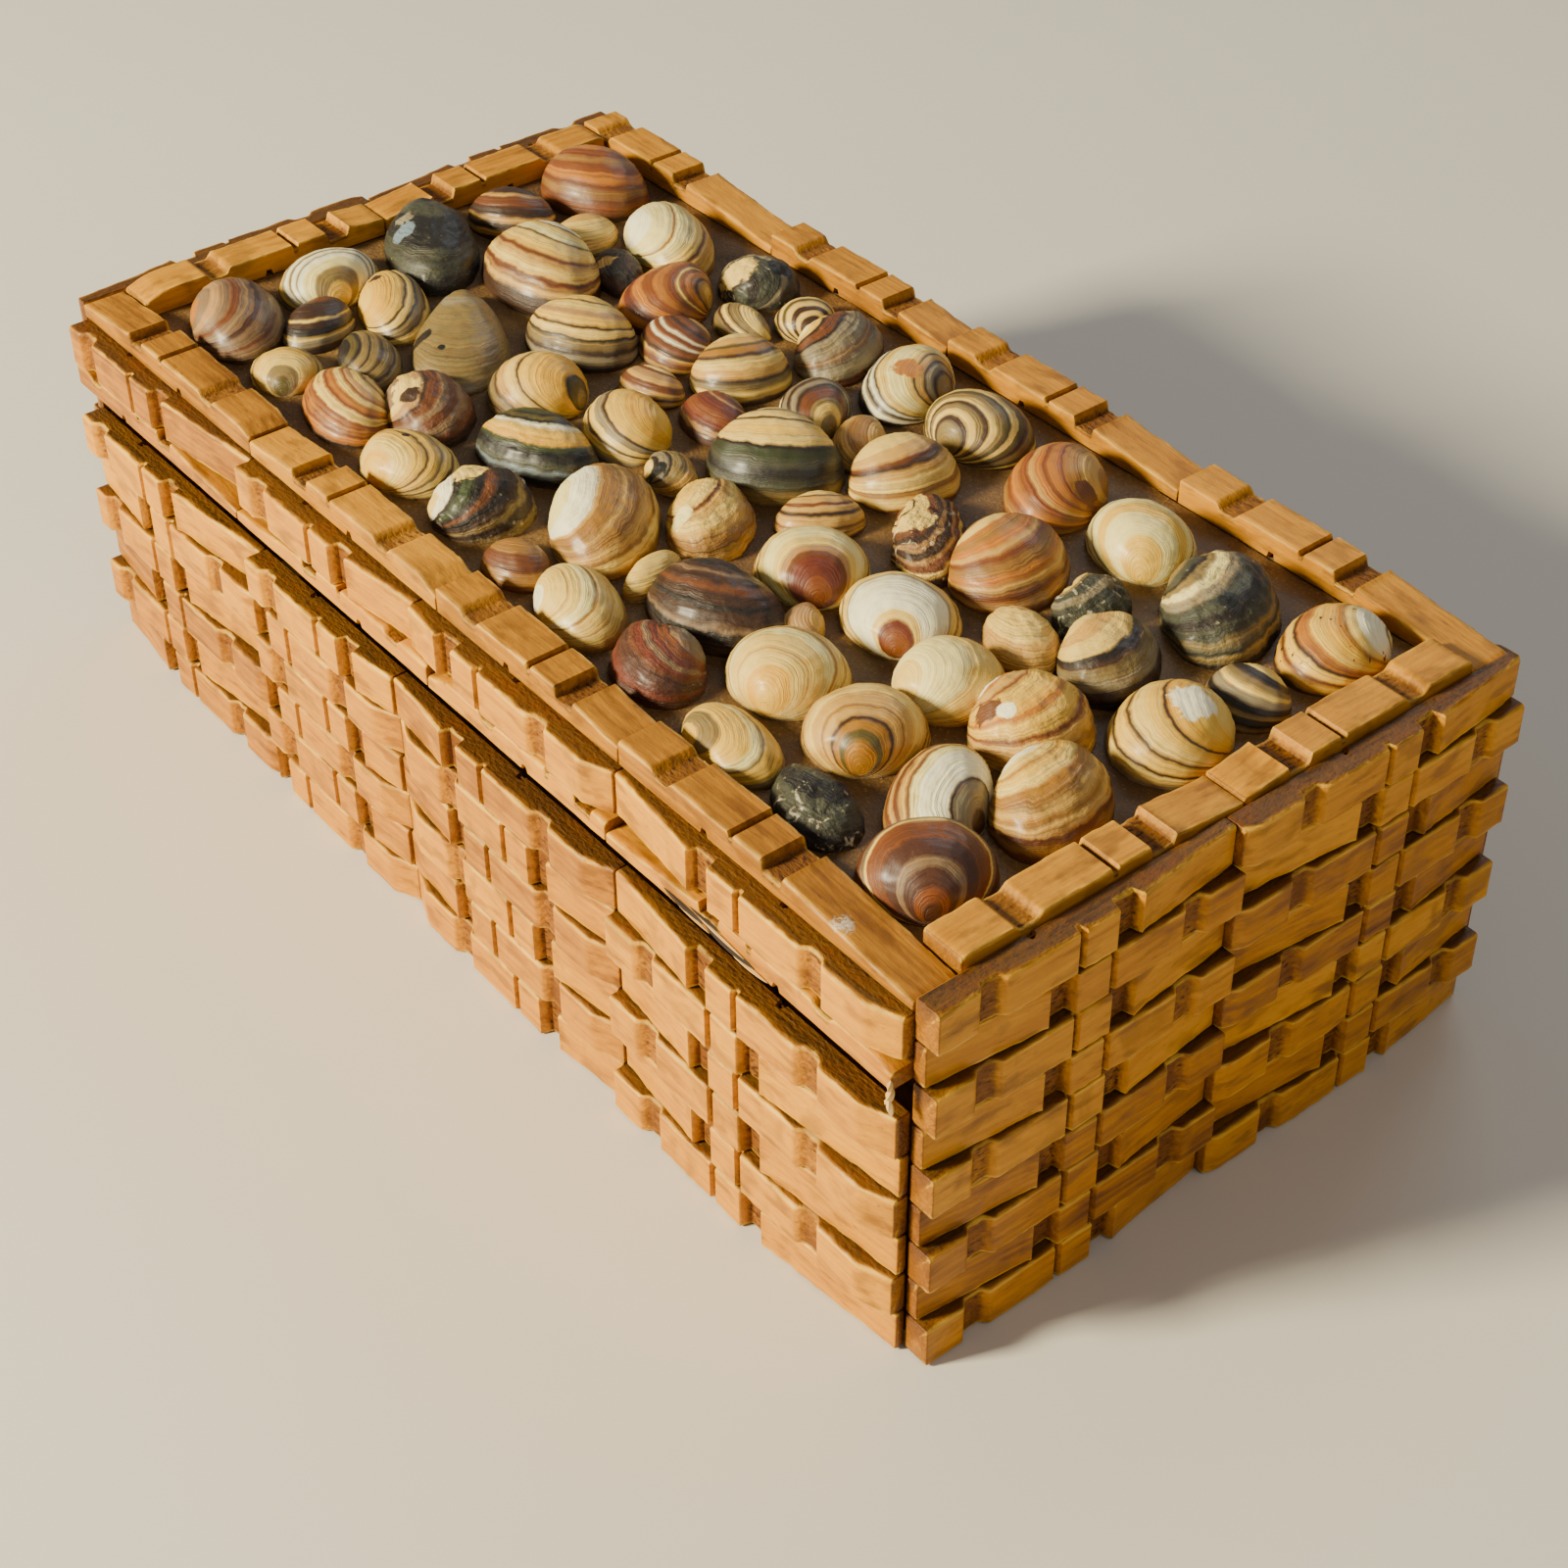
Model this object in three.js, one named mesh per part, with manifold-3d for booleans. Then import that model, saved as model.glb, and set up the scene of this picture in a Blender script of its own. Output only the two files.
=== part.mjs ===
/**
 * A trinket box built from the halves of wooden clothes-pegs, with sea shells glued on its lid.
 *
 * Millimetres, +Z up. The origin is on the table, under the middle of the box. X runs along the box,
 * and the long side that carries the opening edge of the lid faces -Y.
 *
 * Every peg half has one flat face and one notched face. In the walls the pegs lie on edge with the
 * notched face out; in the lid's lowest course and in its rim they lie flat with the notched face up.
 */
import * as THREE from 'three';
import { mergeVertices } from 'three/addons/utils/BufferGeometryUtils.js';
import Module from 'manifold-3d';

const wasm = await Module();
wasm.setup();

// ---------------------------------------------------------------- driving dimensions

/** One peg half. Distances along it are measured from the jaw tip of a whole, untrimmed peg. */
const PEG = {
  length: 93,
  thickness: 6,
  tipThickness: 3.2,
  tipBevel: 7,
  jawNotch: { middle: 21, floor: 3.5, mouth: 7, left: 4.4 },
  springNotch: { middle: 52.4, floor: 4.6, mouth: 6, left: 3.6 },
  handleThickness: 1.8,
};

const CLEARANCE = 0.3;
const PEG_WIDTH = 10.2;

const LONG_WALL = { length: 287.4, innerY: 73.8, courses: 6, courseHeight: 10.2 };
const END_WALL = { length: 148, innerX: 144, courses: 7, courseHeight: 9.8 };
const FLOOR_THICKNESS = 4;

const BASE_END_TOP = END_WALL.courses * END_WALL.courseHeight;
const LID = {
  bottom: BASE_END_TOP + CLEARANCE,
  setIn: 1,
  flatCourseThickness: 5.2,
  flatCourseInnerY: 68.4,
  endCourses: 2,
  endCourseHeight: 9.65,
  panelThickness: 4,
};
LID.innerY = LONG_WALL.innerY - LID.setIn;
LID.edgeCourseBottom = LID.bottom + LID.flatCourseThickness;
LID.deck = LID.edgeCourseBottom + LONG_WALL.courseHeight;

const RIM = { bottom: LID.deck + CLEARANCE, outerY: 74.3, thickness: 5.8, endOuterX: 143.8 };
RIM.innerY = RIM.outerY - PEG_WIDTH;
RIM.innerX = RIM.endOuterX - PEG_WIDTH;

/**
 * The pegs of one course as seen from outside, left to right. "ends" gives where each peg stops,
 * "tips" the side its jaw tip points to, and "cuts" how much was sawn off that tip.
 */
const LONG_COURSES = {
  odd: { ends: [74.7, 130.7, 206.7, 287.4], tips: 'LLRR', cuts: [13, 12, 0, 0] },
  even: { ends: [75.3, 131.3, 206.2, 287.4], tips: 'RRLL', cuts: [4, 0, 0, 9] },
  lid: { ends: [74.7, 139.7, 206.7, 287.4], tips: 'LLRR', cuts: [13, 12, 0, 0] },
  flat: { ends: [72, 147, 206.7, 287.4], tips: 'LRLR', cuts: [12, 8, 0, 3] },
};
const END_COURSES = {
  odd: { ends: [71.5, 148], tips: 'LL', cuts: [9, 4] },
  even: { ends: [72.2, 148], tips: 'RR', cuts: [9, 10] },
};
const RIM_COURSES = {
  front: { ends: [74.3, 146, 206, 287.6], tips: 'RRLL', cuts: [3, 1.5, 9.5, 8] },
  back: { ends: [77.8, 149.5, 211.8, 287.6], tips: 'RRRR', cuts: [7.5, 9, 9.5, 12.5] },
  left: { ends: [64.3, 127.6], tips: 'LR', cuts: [5, 2] },
  right: { ends: [66.5, 127.6], tips: 'LR', cuts: [6, 5.5] },
};

/**
 * The shells on the lid: number, colour name, middle (x, y) on the deck, length, width, the angle of
 * the long axis in degrees from X, and the number of the neighbour it is stuck to.
 */
const SHELLS = [
  [1, 'rust', -118, 49.5, 31, 24, 0, 12],
  [2, 'ivory_oval', -85, 47.5, 34, 20, -20, 14],
  [3, 'slate', -56, 51, 20, 18, 0, 16],
  [4, 'olive_ringed', -36.5, 49.5, 15, 15, 0, 5],
  [5, 'smoke', -22, 47, 27, 19, -55, 4],
  [6, 'grey_striped', -1, 49, 29, 20, -60, 19],
  [7, 'olive_fan', 22.5, 49, 27, 21, 0, 7],
  [8, 'amber', 49, 46, 30, 21, -55, 8],
  [9, 'cream_round', 73.5, 46.5, 26, 21, -15, 24],
  [10, 'black_green', 100, 42, 34, 23, -52, 11],
  [11, 'orange_speckled', 122.5, 49, 26, 21, -75, 10],
  [12, 'umber_striped', -118.5, 25.5, 23, 18, 25, 1],
  [13, 'cream_small', -100.5, 33.5, 19, 15, -70, 27],
  [14, 'umber_small', -82, 30, 19, 12, -20, 2],
  [15, 'red_orange', -63.5, 31, 28, 20, -65, 15],
  [16, 'olive_cream', -45, 37.5, 19, 11, -8, 3],
  [17, 'brown_white', -46.5, 20.5, 21, 16, -10, 30],
  [18, 'yellow_banded', -27.5, 24, 23, 21, 75, 31],
  [19, 'grey_ringed', -6.5, 27.5, 21, 16, -50, 6],
  [20, 'tan_smooth', 9.5, 26.5, 20, 12, -50, 21],
  [21, 'cream_brown_band', 26, 25, 24, 22, 80, 20],
  [22, 'flaky_brown', 46, 14.5, 31, 15, -40, 23],
  [23, 'orange_tan', 63.5, 20, 29, 24, -60, 22],
  [24, 'olive_grey', 83, 24, 20, 14, -70, 9],
  [25, 'cream_grey', 98, 14.5, 26, 20, -50, 34],
  [26, 'black_yellow', 122, 26, 18, 16, -8, 35],
  [27, 'big_striped', -90.5, 15, 37, 26, -15, 13],
  [28, 'black', -117, 2, 39, 22, -25, 47],
  [29, 'white_dark_line', -62, 6, 28, 22, 15, 37],
  [30, 'brown_small', -36, 6, 17, 12, 8, 17],
  [31, 'red_brown', -17, 8.5, 20, 14, -10, 18],
  [32, 'cream_green', 5, 8, 30, 26, 20, 33],
  [33, 'brown_striped', 26, 2.5, 19, 14, 60, 32],
  [34, 'cream_bean', 83, 6, 22, 14, -25, 25],
  [35, 'yellow_ringed', 121, 7, 27, 23, -60, 26],
  [36, 'grey_wedge', -78, -15, 42, 21, -35, 48],
  [37, 'yellow_olive', -49.5, -14.5, 23, 22, -10, 29],
  [38, 'yellow_smooth', -25.5, -8.5, 25, 19, -20, 39],
  [39, 'broken', -6, -11, 16, 11, -15, 38],
  [40, 'cream_tawny', 13, -15.5, 26, 18, -40, 54],
  [41, 'white_brown_beak', 38.5, -10, 24, 23, 0, 46],
  [42, 'white_red_beak', 62, -7, 26, 22, 0, 42],
  [43, 'cream_plain', 84, -13.5, 22, 22, 0, 44],
  [44, 'orange_white', 103, -10.5, 25, 24, -60, 43],
  [45, 'cream_streaked', 121, -22.5, 29, 22, -60, 45],
  [46, 'fragment', 51.5, -23, 13, 9, -50, 41],
  [47, 'white_ringed', -119.5, -24.5, 26, 21, -75, 28],
  [48, 'yellow_lined', -100, -18.5, 31, 16, -25, 36],
  [49, 'dark_oval', -103.5, -37, 21, 15, -60, 50],
  [50, 'olive_lined', -83.5, -36, 24, 14, -20, 49],
  [51, 'grey_white_patch', -58, -37, 27, 19, -20, 62],
  [52, 'green_black', -30.5, -28, 30, 20, 15, 63],
  [53, 'big_cream', 0, -32, 36, 23, -38, 64],
  [54, 'cream_sliver', 20.5, -35.5, 17, 9, -70, 40],
  [55, 'dark_chevron', 38.5, -33.5, 31, 22, 10, 55],
  [56, 'cream_pearl', 62.5, -35, 25, 23, 0, 67],
  [57, 'gold_beak', 85, -35, 24, 23, 70, 68],
  [58, 'brown_white_patch', 108, -37.5, 31, 19, -55, 69],
  [59, 'purple_brown', -116.5, -50, 33, 21, -20, 59],
  [60, 'yellow_cream', -91.5, -52, 17, 16, 0, 61],
  [61, 'orange_striped', -70, -50, 29, 18, -15, 60],
  [62, 'cream_ringed', -42.5, -51.5, 25, 18, 10, 51],
  [63, 'dark_cream', -20, -48.5, 22, 21, -60, 52],
  [64, 'tan_small', 1, -54, 17, 13, 0, 53],
  [65, 'cream_flat', 20.5, -53, 27, 17, -15, 66],
  [66, 'rust_striped', 45, -52.5, 24, 18, -20, 65],
  [67, 'yellow_flat', 72, -55.5, 26, 15, -5, 56],
  [68, 'charcoal', 96, -55.5, 23, 14, -10, 57],
  [69, 'plum', 121, -51.5, 25, 23, 60, 58],
].map(([number, name, x, y, length, width, angle, stuckTo]) => (
  { number, name, x, y, length, width, angle, stuckTo }
));

/** How a shell valve rises, on the axis at both ends so that it closes. */
const SHELL = { sides: 10, shoulderRadius: 0.76, shoulderHeight: 0.6, rise: 0.46, lowest: 5.5 };

/** How far shells that touch overlap, and the steps by which shells are moved and shrunk. */
const STUCK = { overlap: 1.5, step: 0.1, shrink: 0.99 };

// ---------------------------------------------------------------- finishes

const finish = (name, color, roughness) => (
  Object.assign(new THREE.MeshStandardMaterial({ color, roughness, metalness: 0 }), { name })
);
const HONEY_WOOD = finish('honey_wood', 0xdca24a, 0.5);
const RIM_WOOD = finish('rim_wood', 0xc69a55, 0.5);
const BOARD_WOOD = finish('board_wood', 0x8f6f4c, 0.8);
const SHELL_FINISH = finish('sea_shell', 0xd9c39a, 0.45);

// ---------------------------------------------------------------- solids

/** Rounds a size to the nearest hundredth, so that pieces that meet share the very same corners. */
const onGrid = (size) => Math.round(size * 100) / 100;

/** Turns a closed three.js geometry into a solid that can be joined and cut. */
function toSolid(geometry) {
  const bare = geometry.clone();
  bare.deleteAttribute('normal');
  bare.deleteAttribute('uv');
  const merged = mergeVertices(bare, 1e-4);
  const corners = merged.index.array;
  const kept = [];
  for (let i = 0; i < corners.length; i += 3) {
    const [a, b, c] = [corners[i], corners[i + 1], corners[i + 2]];
    if (a !== b && b !== c && c !== a) kept.push(a, b, c);
  }
  const mesh = new wasm.Mesh({
    numProp: 3,
    vertProperties: Float32Array.from(merged.attributes.position.array),
    triVerts: Uint32Array.from(kept),
  });
  return new wasm.Manifold(mesh);
}

/** Turns a solid back into a three.js geometry. */
function toGeometry(solid) {
  const mesh = solid.getMesh();
  const geometry = new THREE.BufferGeometry();
  geometry.setAttribute('position', new THREE.BufferAttribute(mesh.vertProperties, 3));
  geometry.setIndex(new THREE.BufferAttribute(mesh.triVerts, 1));
  geometry.computeVertexNormals();
  return geometry;
}

function join(geometries) {
  return toGeometry(geometries.map(toSolid).reduce((whole, next) => whole.add(next)));
}

function part(name, geometry, material) {
  const mesh = new THREE.Mesh(geometry, material);
  mesh.name = name;
  return mesh;
}

function board(name, length, width, bottom, top) {
  const slab = new THREE.BoxGeometry(length, width, top - bottom);
  slab.translate(0, 0, (bottom + top) / 2);
  return part(name, slab, BOARD_WOOD);
}

// ---------------------------------------------------------------- pegs

/** The corners of the notched face of a whole peg: [distance from the tip, thickness]. */
function notchedFace() {
  const step = 0.6;
  const { jawNotch: jaw, springNotch: spring, thickness } = PEG;
  return [
    [0, PEG.tipThickness],
    [PEG.tipBevel, thickness],
    [jaw.middle - jaw.mouth / 2, thickness],
    [jaw.middle - jaw.floor / 2, jaw.left],
    [jaw.middle + jaw.floor / 2, jaw.left],
    [jaw.middle + jaw.mouth / 2, thickness],
    [spring.middle - spring.mouth / 2, thickness],
    [spring.middle - spring.floor / 2, spring.left],
    [spring.middle + spring.floor / 2, spring.left],
    [spring.middle + spring.mouth / 2, thickness - step],
    [PEG.length, PEG.handleThickness],
  ];
}

/** The thickness of a whole peg at a distance from its tip. */
function thicknessAt(distance) {
  const face = notchedFace();
  const after = face.findIndex(([along]) => along >= distance);
  if (after <= 0) return face[0][1];
  const [[nearAlong, near], [farAlong, far]] = [face[after - 1], face[after]];
  return near + ((far - near) * (distance - nearAlong)) / (farAlong - nearAlong);
}

/**
 * One trimmed peg between two places "from" and "to" of its course, "bottom" to "top" across its
 * width. Its flat face is y = 0 and its notched face looks along +Y. Seen from the notched side the
 * course runs left to right as x falls, from half the course's length to minus half.
 */
function peg({ from, to, tip, cut, bottom, top, courseLength, scale = 1 }) {
  const length = to - from;
  const inside = notchedFace().filter(([along]) => along > cut && along < cut + length);
  const face = [
    [cut, thicknessAt(cut)],
    ...inside,
    [cut + length, thicknessAt(cut + length)],
  ];
  const place = (along) => {
    const fromTip = along - cut;
    return onGrid(courseLength / 2 - (tip === 'L' ? from + fromTip : to - fromTip));
  };
  const outline = [
    new THREE.Vector2(place(cut), 0),
    ...face.map(([along, thick]) => new THREE.Vector2(place(along), onGrid(thick * scale))),
    new THREE.Vector2(place(cut + length), 0),
  ];
  const geometry = new THREE.ExtrudeGeometry(new THREE.Shape(outline), {
    depth: 1,
    bevelEnabled: false,
  });
  const position = geometry.attributes.position;
  for (let i = 0; i < position.count; i += 1) {
    position.setZ(i, position.getZ(i) < 0.5 ? onGrid(bottom) : onGrid(top));
  }
  return geometry;
}

/** The pegs of one course, each between the end of the one before it and its own. */
function course(layout, bottom, top, scale = 1) {
  const courseLength = layout.ends.at(-1);
  return layout.ends.map((to, i) => peg({
    from: i === 0 ? 0 : layout.ends[i - 1],
    to,
    tip: layout.tips[i],
    cut: layout.cuts[i],
    bottom,
    top,
    courseLength,
    scale,
  }));
}

/** A wall of courses on edge, its lowest an odd or even one so that the courses look woven. */
function wallOfCourses(courses, count, bottom, height, firstIsOdd) {
  const levels = Array.from({ length: count + 1 }, (_, i) => onGrid(bottom + i * height));
  const pegs = [];
  for (let i = 0; i < count; i += 1) {
    const layout = (i % 2 === 0) === firstIsOdd ? courses.odd : courses.even;
    pegs.push(...course(layout, levels[i], levels[i + 1]));
  }
  return pegs;
}

/** Turns a wall built facing +Y so that it faces one side of the box, its flat face at "inner". */
const SIDES = {
  back: { turn: 0, x: 0, y: 1 },
  left: { turn: Math.PI / 2, x: -1, y: 0 },
  front: { turn: Math.PI, x: 0, y: -1 },
  right: { turn: -Math.PI / 2, x: 1, y: 0 },
};

function face(mesh, side, inner) {
  const { turn, x, y } = SIDES[side];
  mesh.rotation.z = turn;
  mesh.position.set(x * inner, y * inner, 0);
  return mesh;
}

// ---------------------------------------------------------------- base

function buildBase() {
  const base = new THREE.Group();
  const floorLength = 2 * (END_WALL.innerX - CLEARANCE);
  const floorWidth = 2 * (LONG_WALL.innerY - CLEARANCE);
  base.add(board('floor_board', floorLength, floorWidth, 0, FLOOR_THICKNESS));
  for (const side of ['front', 'back']) {
    const pegs = wallOfCourses(LONG_COURSES, LONG_WALL.courses, 0, LONG_WALL.courseHeight, false);
    base.add(face(part(`base_wall_${side}`, join(pegs), HONEY_WOOD), side, LONG_WALL.innerY));
  }
  for (const side of ['left', 'right']) {
    const pegs = wallOfCourses(END_COURSES, END_WALL.courses, 0, END_WALL.courseHeight, true);
    base.add(face(part(`base_wall_${side}`, join(pegs), HONEY_WOOD), side, END_WALL.innerX));
  }
  return base;
}

// ---------------------------------------------------------------- lid

/** Lays a course that faces +Y on its back, notched side up, its flat side at z = "bottom". */
function layFlat(geometry, bottom, outerY) {
  geometry.rotateX(Math.PI / 2);
  geometry.translate(0, outerY, bottom);
  return geometry;
}

/** One long side of the lid: a course of flat pegs under a course of pegs on edge. */
function lidLongSide(side) {
  const onEdge = course(LONG_COURSES.lid, LID.edgeCourseBottom, LID.deck);
  const flatScale = LID.flatCourseThickness / PEG.thickness;
  const flat = course(LONG_COURSES.flat, 0, PEG_WIDTH, flatScale)
    .map((geometry) => layFlat(geometry, LID.bottom, LID.flatCourseInnerY - LID.innerY + PEG_WIDTH));
  return face(part(`lid_side_${side}`, join([...onEdge, ...flat]), HONEY_WOOD), side, LID.innerY);
}

function lidEnd(side) {
  const pegs = wallOfCourses(END_COURSES, LID.endCourses, LID.bottom, LID.endCourseHeight, false);
  return face(part(`lid_end_${side}`, join(pegs), HONEY_WOOD), side, END_WALL.innerX);
}

/** The pegs of the rim, each a piece of its own, lying flat round the deck. */
function rimRun(side, layout, inner) {
  const gap = CLEARANCE / 2;
  const courseLength = layout.ends.at(-1);
  return layout.ends.map((to, i) => {
    const flat = peg({
      from: (i === 0 ? 0 : layout.ends[i - 1]) + gap,
      to: to - gap,
      tip: layout.tips[i],
      cut: layout.cuts[i],
      bottom: 0,
      top: PEG_WIDTH,
      courseLength,
      scale: RIM.thickness / PEG.thickness,
    });
    layFlat(flat, RIM.bottom, PEG_WIDTH);
    return face(part(`rim_${side}_${i + 1}`, flat, RIM_WOOD), side, inner);
  });
}

function buildLid() {
  const lid = new THREE.Group();
  const panelLength = 2 * (END_WALL.innerX - CLEARANCE);
  const panelWidth = 2 * (LID.innerY - CLEARANCE);
  lid.add(board('lid_panel', panelLength, panelWidth, LID.deck - LID.panelThickness, LID.deck));
  for (const side of ['front', 'back']) {
    lid.add(lidLongSide(side));
    lid.add(...rimRun(side, RIM_COURSES[side], RIM.innerY));
  }
  for (const side of ['left', 'right']) {
    lid.add(lidEnd(side));
    lid.add(...rimRun(side, RIM_COURSES[side], RIM.innerX));
  }
  return lid;
}

// ---------------------------------------------------------------- shells

/** The outline of a shell on the deck, as the corners of a polygon. */
function footprint(shell) {
  const turn = THREE.MathUtils.degToRad(shell.angle);
  const middle = new THREE.Vector2(shell.x, shell.y);
  return Array.from({ length: SHELL.sides }, (_, i) => {
    const round = (i / SHELL.sides) * 2 * Math.PI;
    const corner = new THREE.Vector2(
      (Math.sin(round) * shell.length) / 2,
      (-Math.cos(round) * shell.width) / 2,
    );
    return corner.rotateAround(new THREE.Vector2(), turn).add(middle);
  });
}

/** The widest clear strip between two convex polygons, negative where they overlap. */
function stripBetween(first, second) {
  let widest = -Infinity;
  for (const [near, far] of [[first, second], [second, first]]) {
    for (let i = 0; i < near.length; i += 1) {
      const start = near[i];
      const edge = near[(i + 1) % near.length].clone().sub(start);
      const outward = new THREE.Vector2(edge.y, -edge.x).normalize();
      const reach = Math.min(...far.map((corner) => corner.clone().sub(start).dot(outward)));
      widest = Math.max(widest, reach);
    }
  }
  return widest;
}

/** Moves two shells that are stuck together towards each other until their rims overlap. */
function pushTogether(first, second) {
  const step = new THREE.Vector2(second.x - first.x, second.y - first.y).setLength(STUCK.step);
  while (stripBetween(footprint(first), footprint(second)) > -STUCK.overlap) {
    first.x += step.x;
    first.y += step.y;
    second.x -= step.x;
    second.y -= step.y;
  }
}

/** The shells as clusters of one or two, each cluster as [shells]. */
function clustersOf(shells) {
  const clusters = shells.filter(({ number, stuckTo }) => stuckTo >= number).map((shell) => (
    shells.filter(({ number }) => number === shell.number || number === shell.stuckTo)
      .map((member) => ({ ...member }))
  ));
  clusters.filter(({ length }) => length === 2).forEach((pair) => pushTogether(...pair));
  return clusters;
}

/** Scales a cluster about its middle, so that shells that touch go on touching. */
function scaleCluster(cluster, factor) {
  const middle = (axis) => cluster.reduce((sum, shell) => sum + shell[axis], 0) / cluster.length;
  const [x, y] = [middle('x'), middle('y')];
  for (const shell of cluster) {
    shell.x = x + (shell.x - x) * factor;
    shell.y = y + (shell.y - y) * factor;
    shell.length *= factor;
    shell.width *= factor;
  }
}

/** Shrinks crowded clusters a little at a time until each clears the rim and all the others. */
function spreadOut(clusters) {
  const field = { x: RIM.innerX - CLEARANCE, y: RIM.innerY - CLEARANCE };
  const outlines = (cluster) => cluster.map(footprint);
  const sticksOut = (cluster) => outlines(cluster).flat()
    .some((corner) => Math.abs(corner.x) > field.x || Math.abs(corner.y) > field.y);
  const crowds = (first, second) => outlines(first)
    .some((near) => outlines(second).some((far) => stripBetween(near, far) < CLEARANCE));
  let crowded = new Set(clusters);
  while (crowded.size > 0) {
    crowded = new Set(clusters.filter(sticksOut));
    clusters.forEach((first, i) => {
      clusters.slice(i + 1).filter((second) => crowds(first, second)).forEach((second) => {
        crowded.add(first).add(second);
      });
    });
    crowded.forEach((cluster) => scaleCluster(cluster, STUCK.shrink));
  }
  return clusters;
}

/** One valve of a shell, lying on its rim with its crown up. */
function valve({ x, y, length, width, angle }) {
  const height = Math.max(SHELL.lowest, width * SHELL.rise);
  const profile = [[0, 0], [1, 0], [SHELL.shoulderRadius, SHELL.shoulderHeight], [0, 1]]
    .map(([radius, rise]) => new THREE.Vector2(radius, rise));
  const dome = new THREE.LatheGeometry(profile, SHELL.sides);
  dome.rotateX(Math.PI / 2);
  dome.scale(length / 2, width / 2, height);
  dome.rotateZ(THREE.MathUtils.degToRad(angle));
  dome.translate(x, y, LID.deck + CLEARANCE);
  return dome;
}

const twoDigits = (number) => String(number).padStart(2, '0');

function buildShells() {
  const group = new THREE.Group();
  for (const cluster of spreadOut(clustersOf(SHELLS))) {
    const label = cluster.map(({ number, name }) => `${twoDigits(number)}_${name}`).join('_');
    const prefix = cluster.length > 1 ? 'shells' : 'shell';
    group.add(part(`${prefix}_${label}`, join(cluster.map(valve)), SHELL_FINISH));
  }
  return group;
}

const shellBox = new THREE.Group();
shellBox.add(buildBase(), buildLid(), buildShells());

export default shellBox;
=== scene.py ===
import logging
import math
from collections.abc import Iterable, Mapping, Sequence
from dataclasses import dataclass, field
from enum import Enum
from typing import Any

import bpy
import numpy as np
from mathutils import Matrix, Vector, noise


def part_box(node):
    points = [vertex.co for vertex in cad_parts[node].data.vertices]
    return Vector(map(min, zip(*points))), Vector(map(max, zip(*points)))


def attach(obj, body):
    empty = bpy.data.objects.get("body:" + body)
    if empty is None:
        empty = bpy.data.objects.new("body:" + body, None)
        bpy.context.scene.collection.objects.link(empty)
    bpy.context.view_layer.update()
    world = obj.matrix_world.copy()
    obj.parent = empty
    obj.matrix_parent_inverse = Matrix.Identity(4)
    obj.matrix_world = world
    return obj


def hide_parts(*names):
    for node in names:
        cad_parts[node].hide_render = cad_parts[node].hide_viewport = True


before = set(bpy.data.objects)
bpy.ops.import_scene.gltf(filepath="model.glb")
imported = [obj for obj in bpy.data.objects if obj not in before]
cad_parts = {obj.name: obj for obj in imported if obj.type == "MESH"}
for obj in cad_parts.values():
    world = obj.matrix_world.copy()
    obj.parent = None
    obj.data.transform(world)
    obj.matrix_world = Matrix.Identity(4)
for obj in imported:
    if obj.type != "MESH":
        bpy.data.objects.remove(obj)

MM = 0.001
UP = Vector((0, 0, 1))
BODY = "root"
# A colour ramp holds no more stops than this.
RAMP_LIMIT = 32
# Edges that bend more than this, in degrees, stay crisp.
PEG_SHARP = 38
SLIVER_SHARP = 30
SOFT_SHARP = 60
LOG = logging.getLogger("shell_box")

Colour = tuple[float, float, float]


def linear(code: str) -> Colour:
    """Turns a colour code into linear light.

    Args:
        code: red, green and blue as six hexadecimal digits, such as "c89650".

    Returns:
        Linear red, green and blue, 0 to 1.
    """
    parts = [int(code[i:i + 2], 16) / 255 for i in (0, 2, 4)]
    red, green, blue = (p / 12.92 if p <= 0.04045 else ((p + 0.055) / 1.055) ** 2.4 for p in parts)
    return red, green, blue


# ---------------------------------------------------------------- shader building


@dataclass(frozen=True)
class Signal:
    """A value that varies over a surface, so that shader maths reads as an expression."""

    shader: "Shader"
    socket: bpy.types.NodeSocket

    def maths(self, operation: str, first: Any, second: Any) -> "Signal":
        """Adds one Math node.

        Args:
            operation: the node's operation, such as "ADD".
            first: a number or a signal.
            second: a number or a signal.

        Returns:
            The node's result.
        """
        return self.shader.add("ShaderNodeMath", {"operation": operation}, {0: first, 1: second})

    def __add__(self, other: Any) -> "Signal":
        """Adds."""
        return self.maths("ADD", self, other)

    __radd__ = __add__

    def __sub__(self, other: Any) -> "Signal":
        """Subtracts."""
        return self.maths("SUBTRACT", self, other)

    def __rsub__(self, other: Any) -> "Signal":
        """Subtracts from a number."""
        return self.maths("SUBTRACT", other, self)

    def __mul__(self, other: Any) -> "Signal":
        """Multiplies."""
        return self.maths("MULTIPLY", self, other)

    __rmul__ = __mul__

    def __truediv__(self, other: Any) -> "Signal":
        """Divides."""
        return self.maths("DIVIDE", self, other)

    def clamped(self) -> "Signal":
        """Keeps the value between 0 and 1."""
        return self.shader.add("ShaderNodeClamp", {}, {0: self})

    def step(self, low: float, high: float) -> "Signal":
        """Rises smoothly from 0 at "low" to 1 at "high".

        Args:
            low: where the rise starts.
            high: where it ends; below "low" it falls instead.

        Returns:
            A mask.
        """
        rising = low < high
        near, far = (low, high) if rising else (high, low)
        to_low, to_high = (0.0, 1.0) if rising else (1.0, 0.0)
        return self.shader.add(
            "ShaderNodeMapRange",
            {"interpolation_type": "SMOOTHSTEP"},
            {"Value": self, "From Min": near, "From Max": far, "To Min": to_low, "To Max": to_high},
        )


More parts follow.
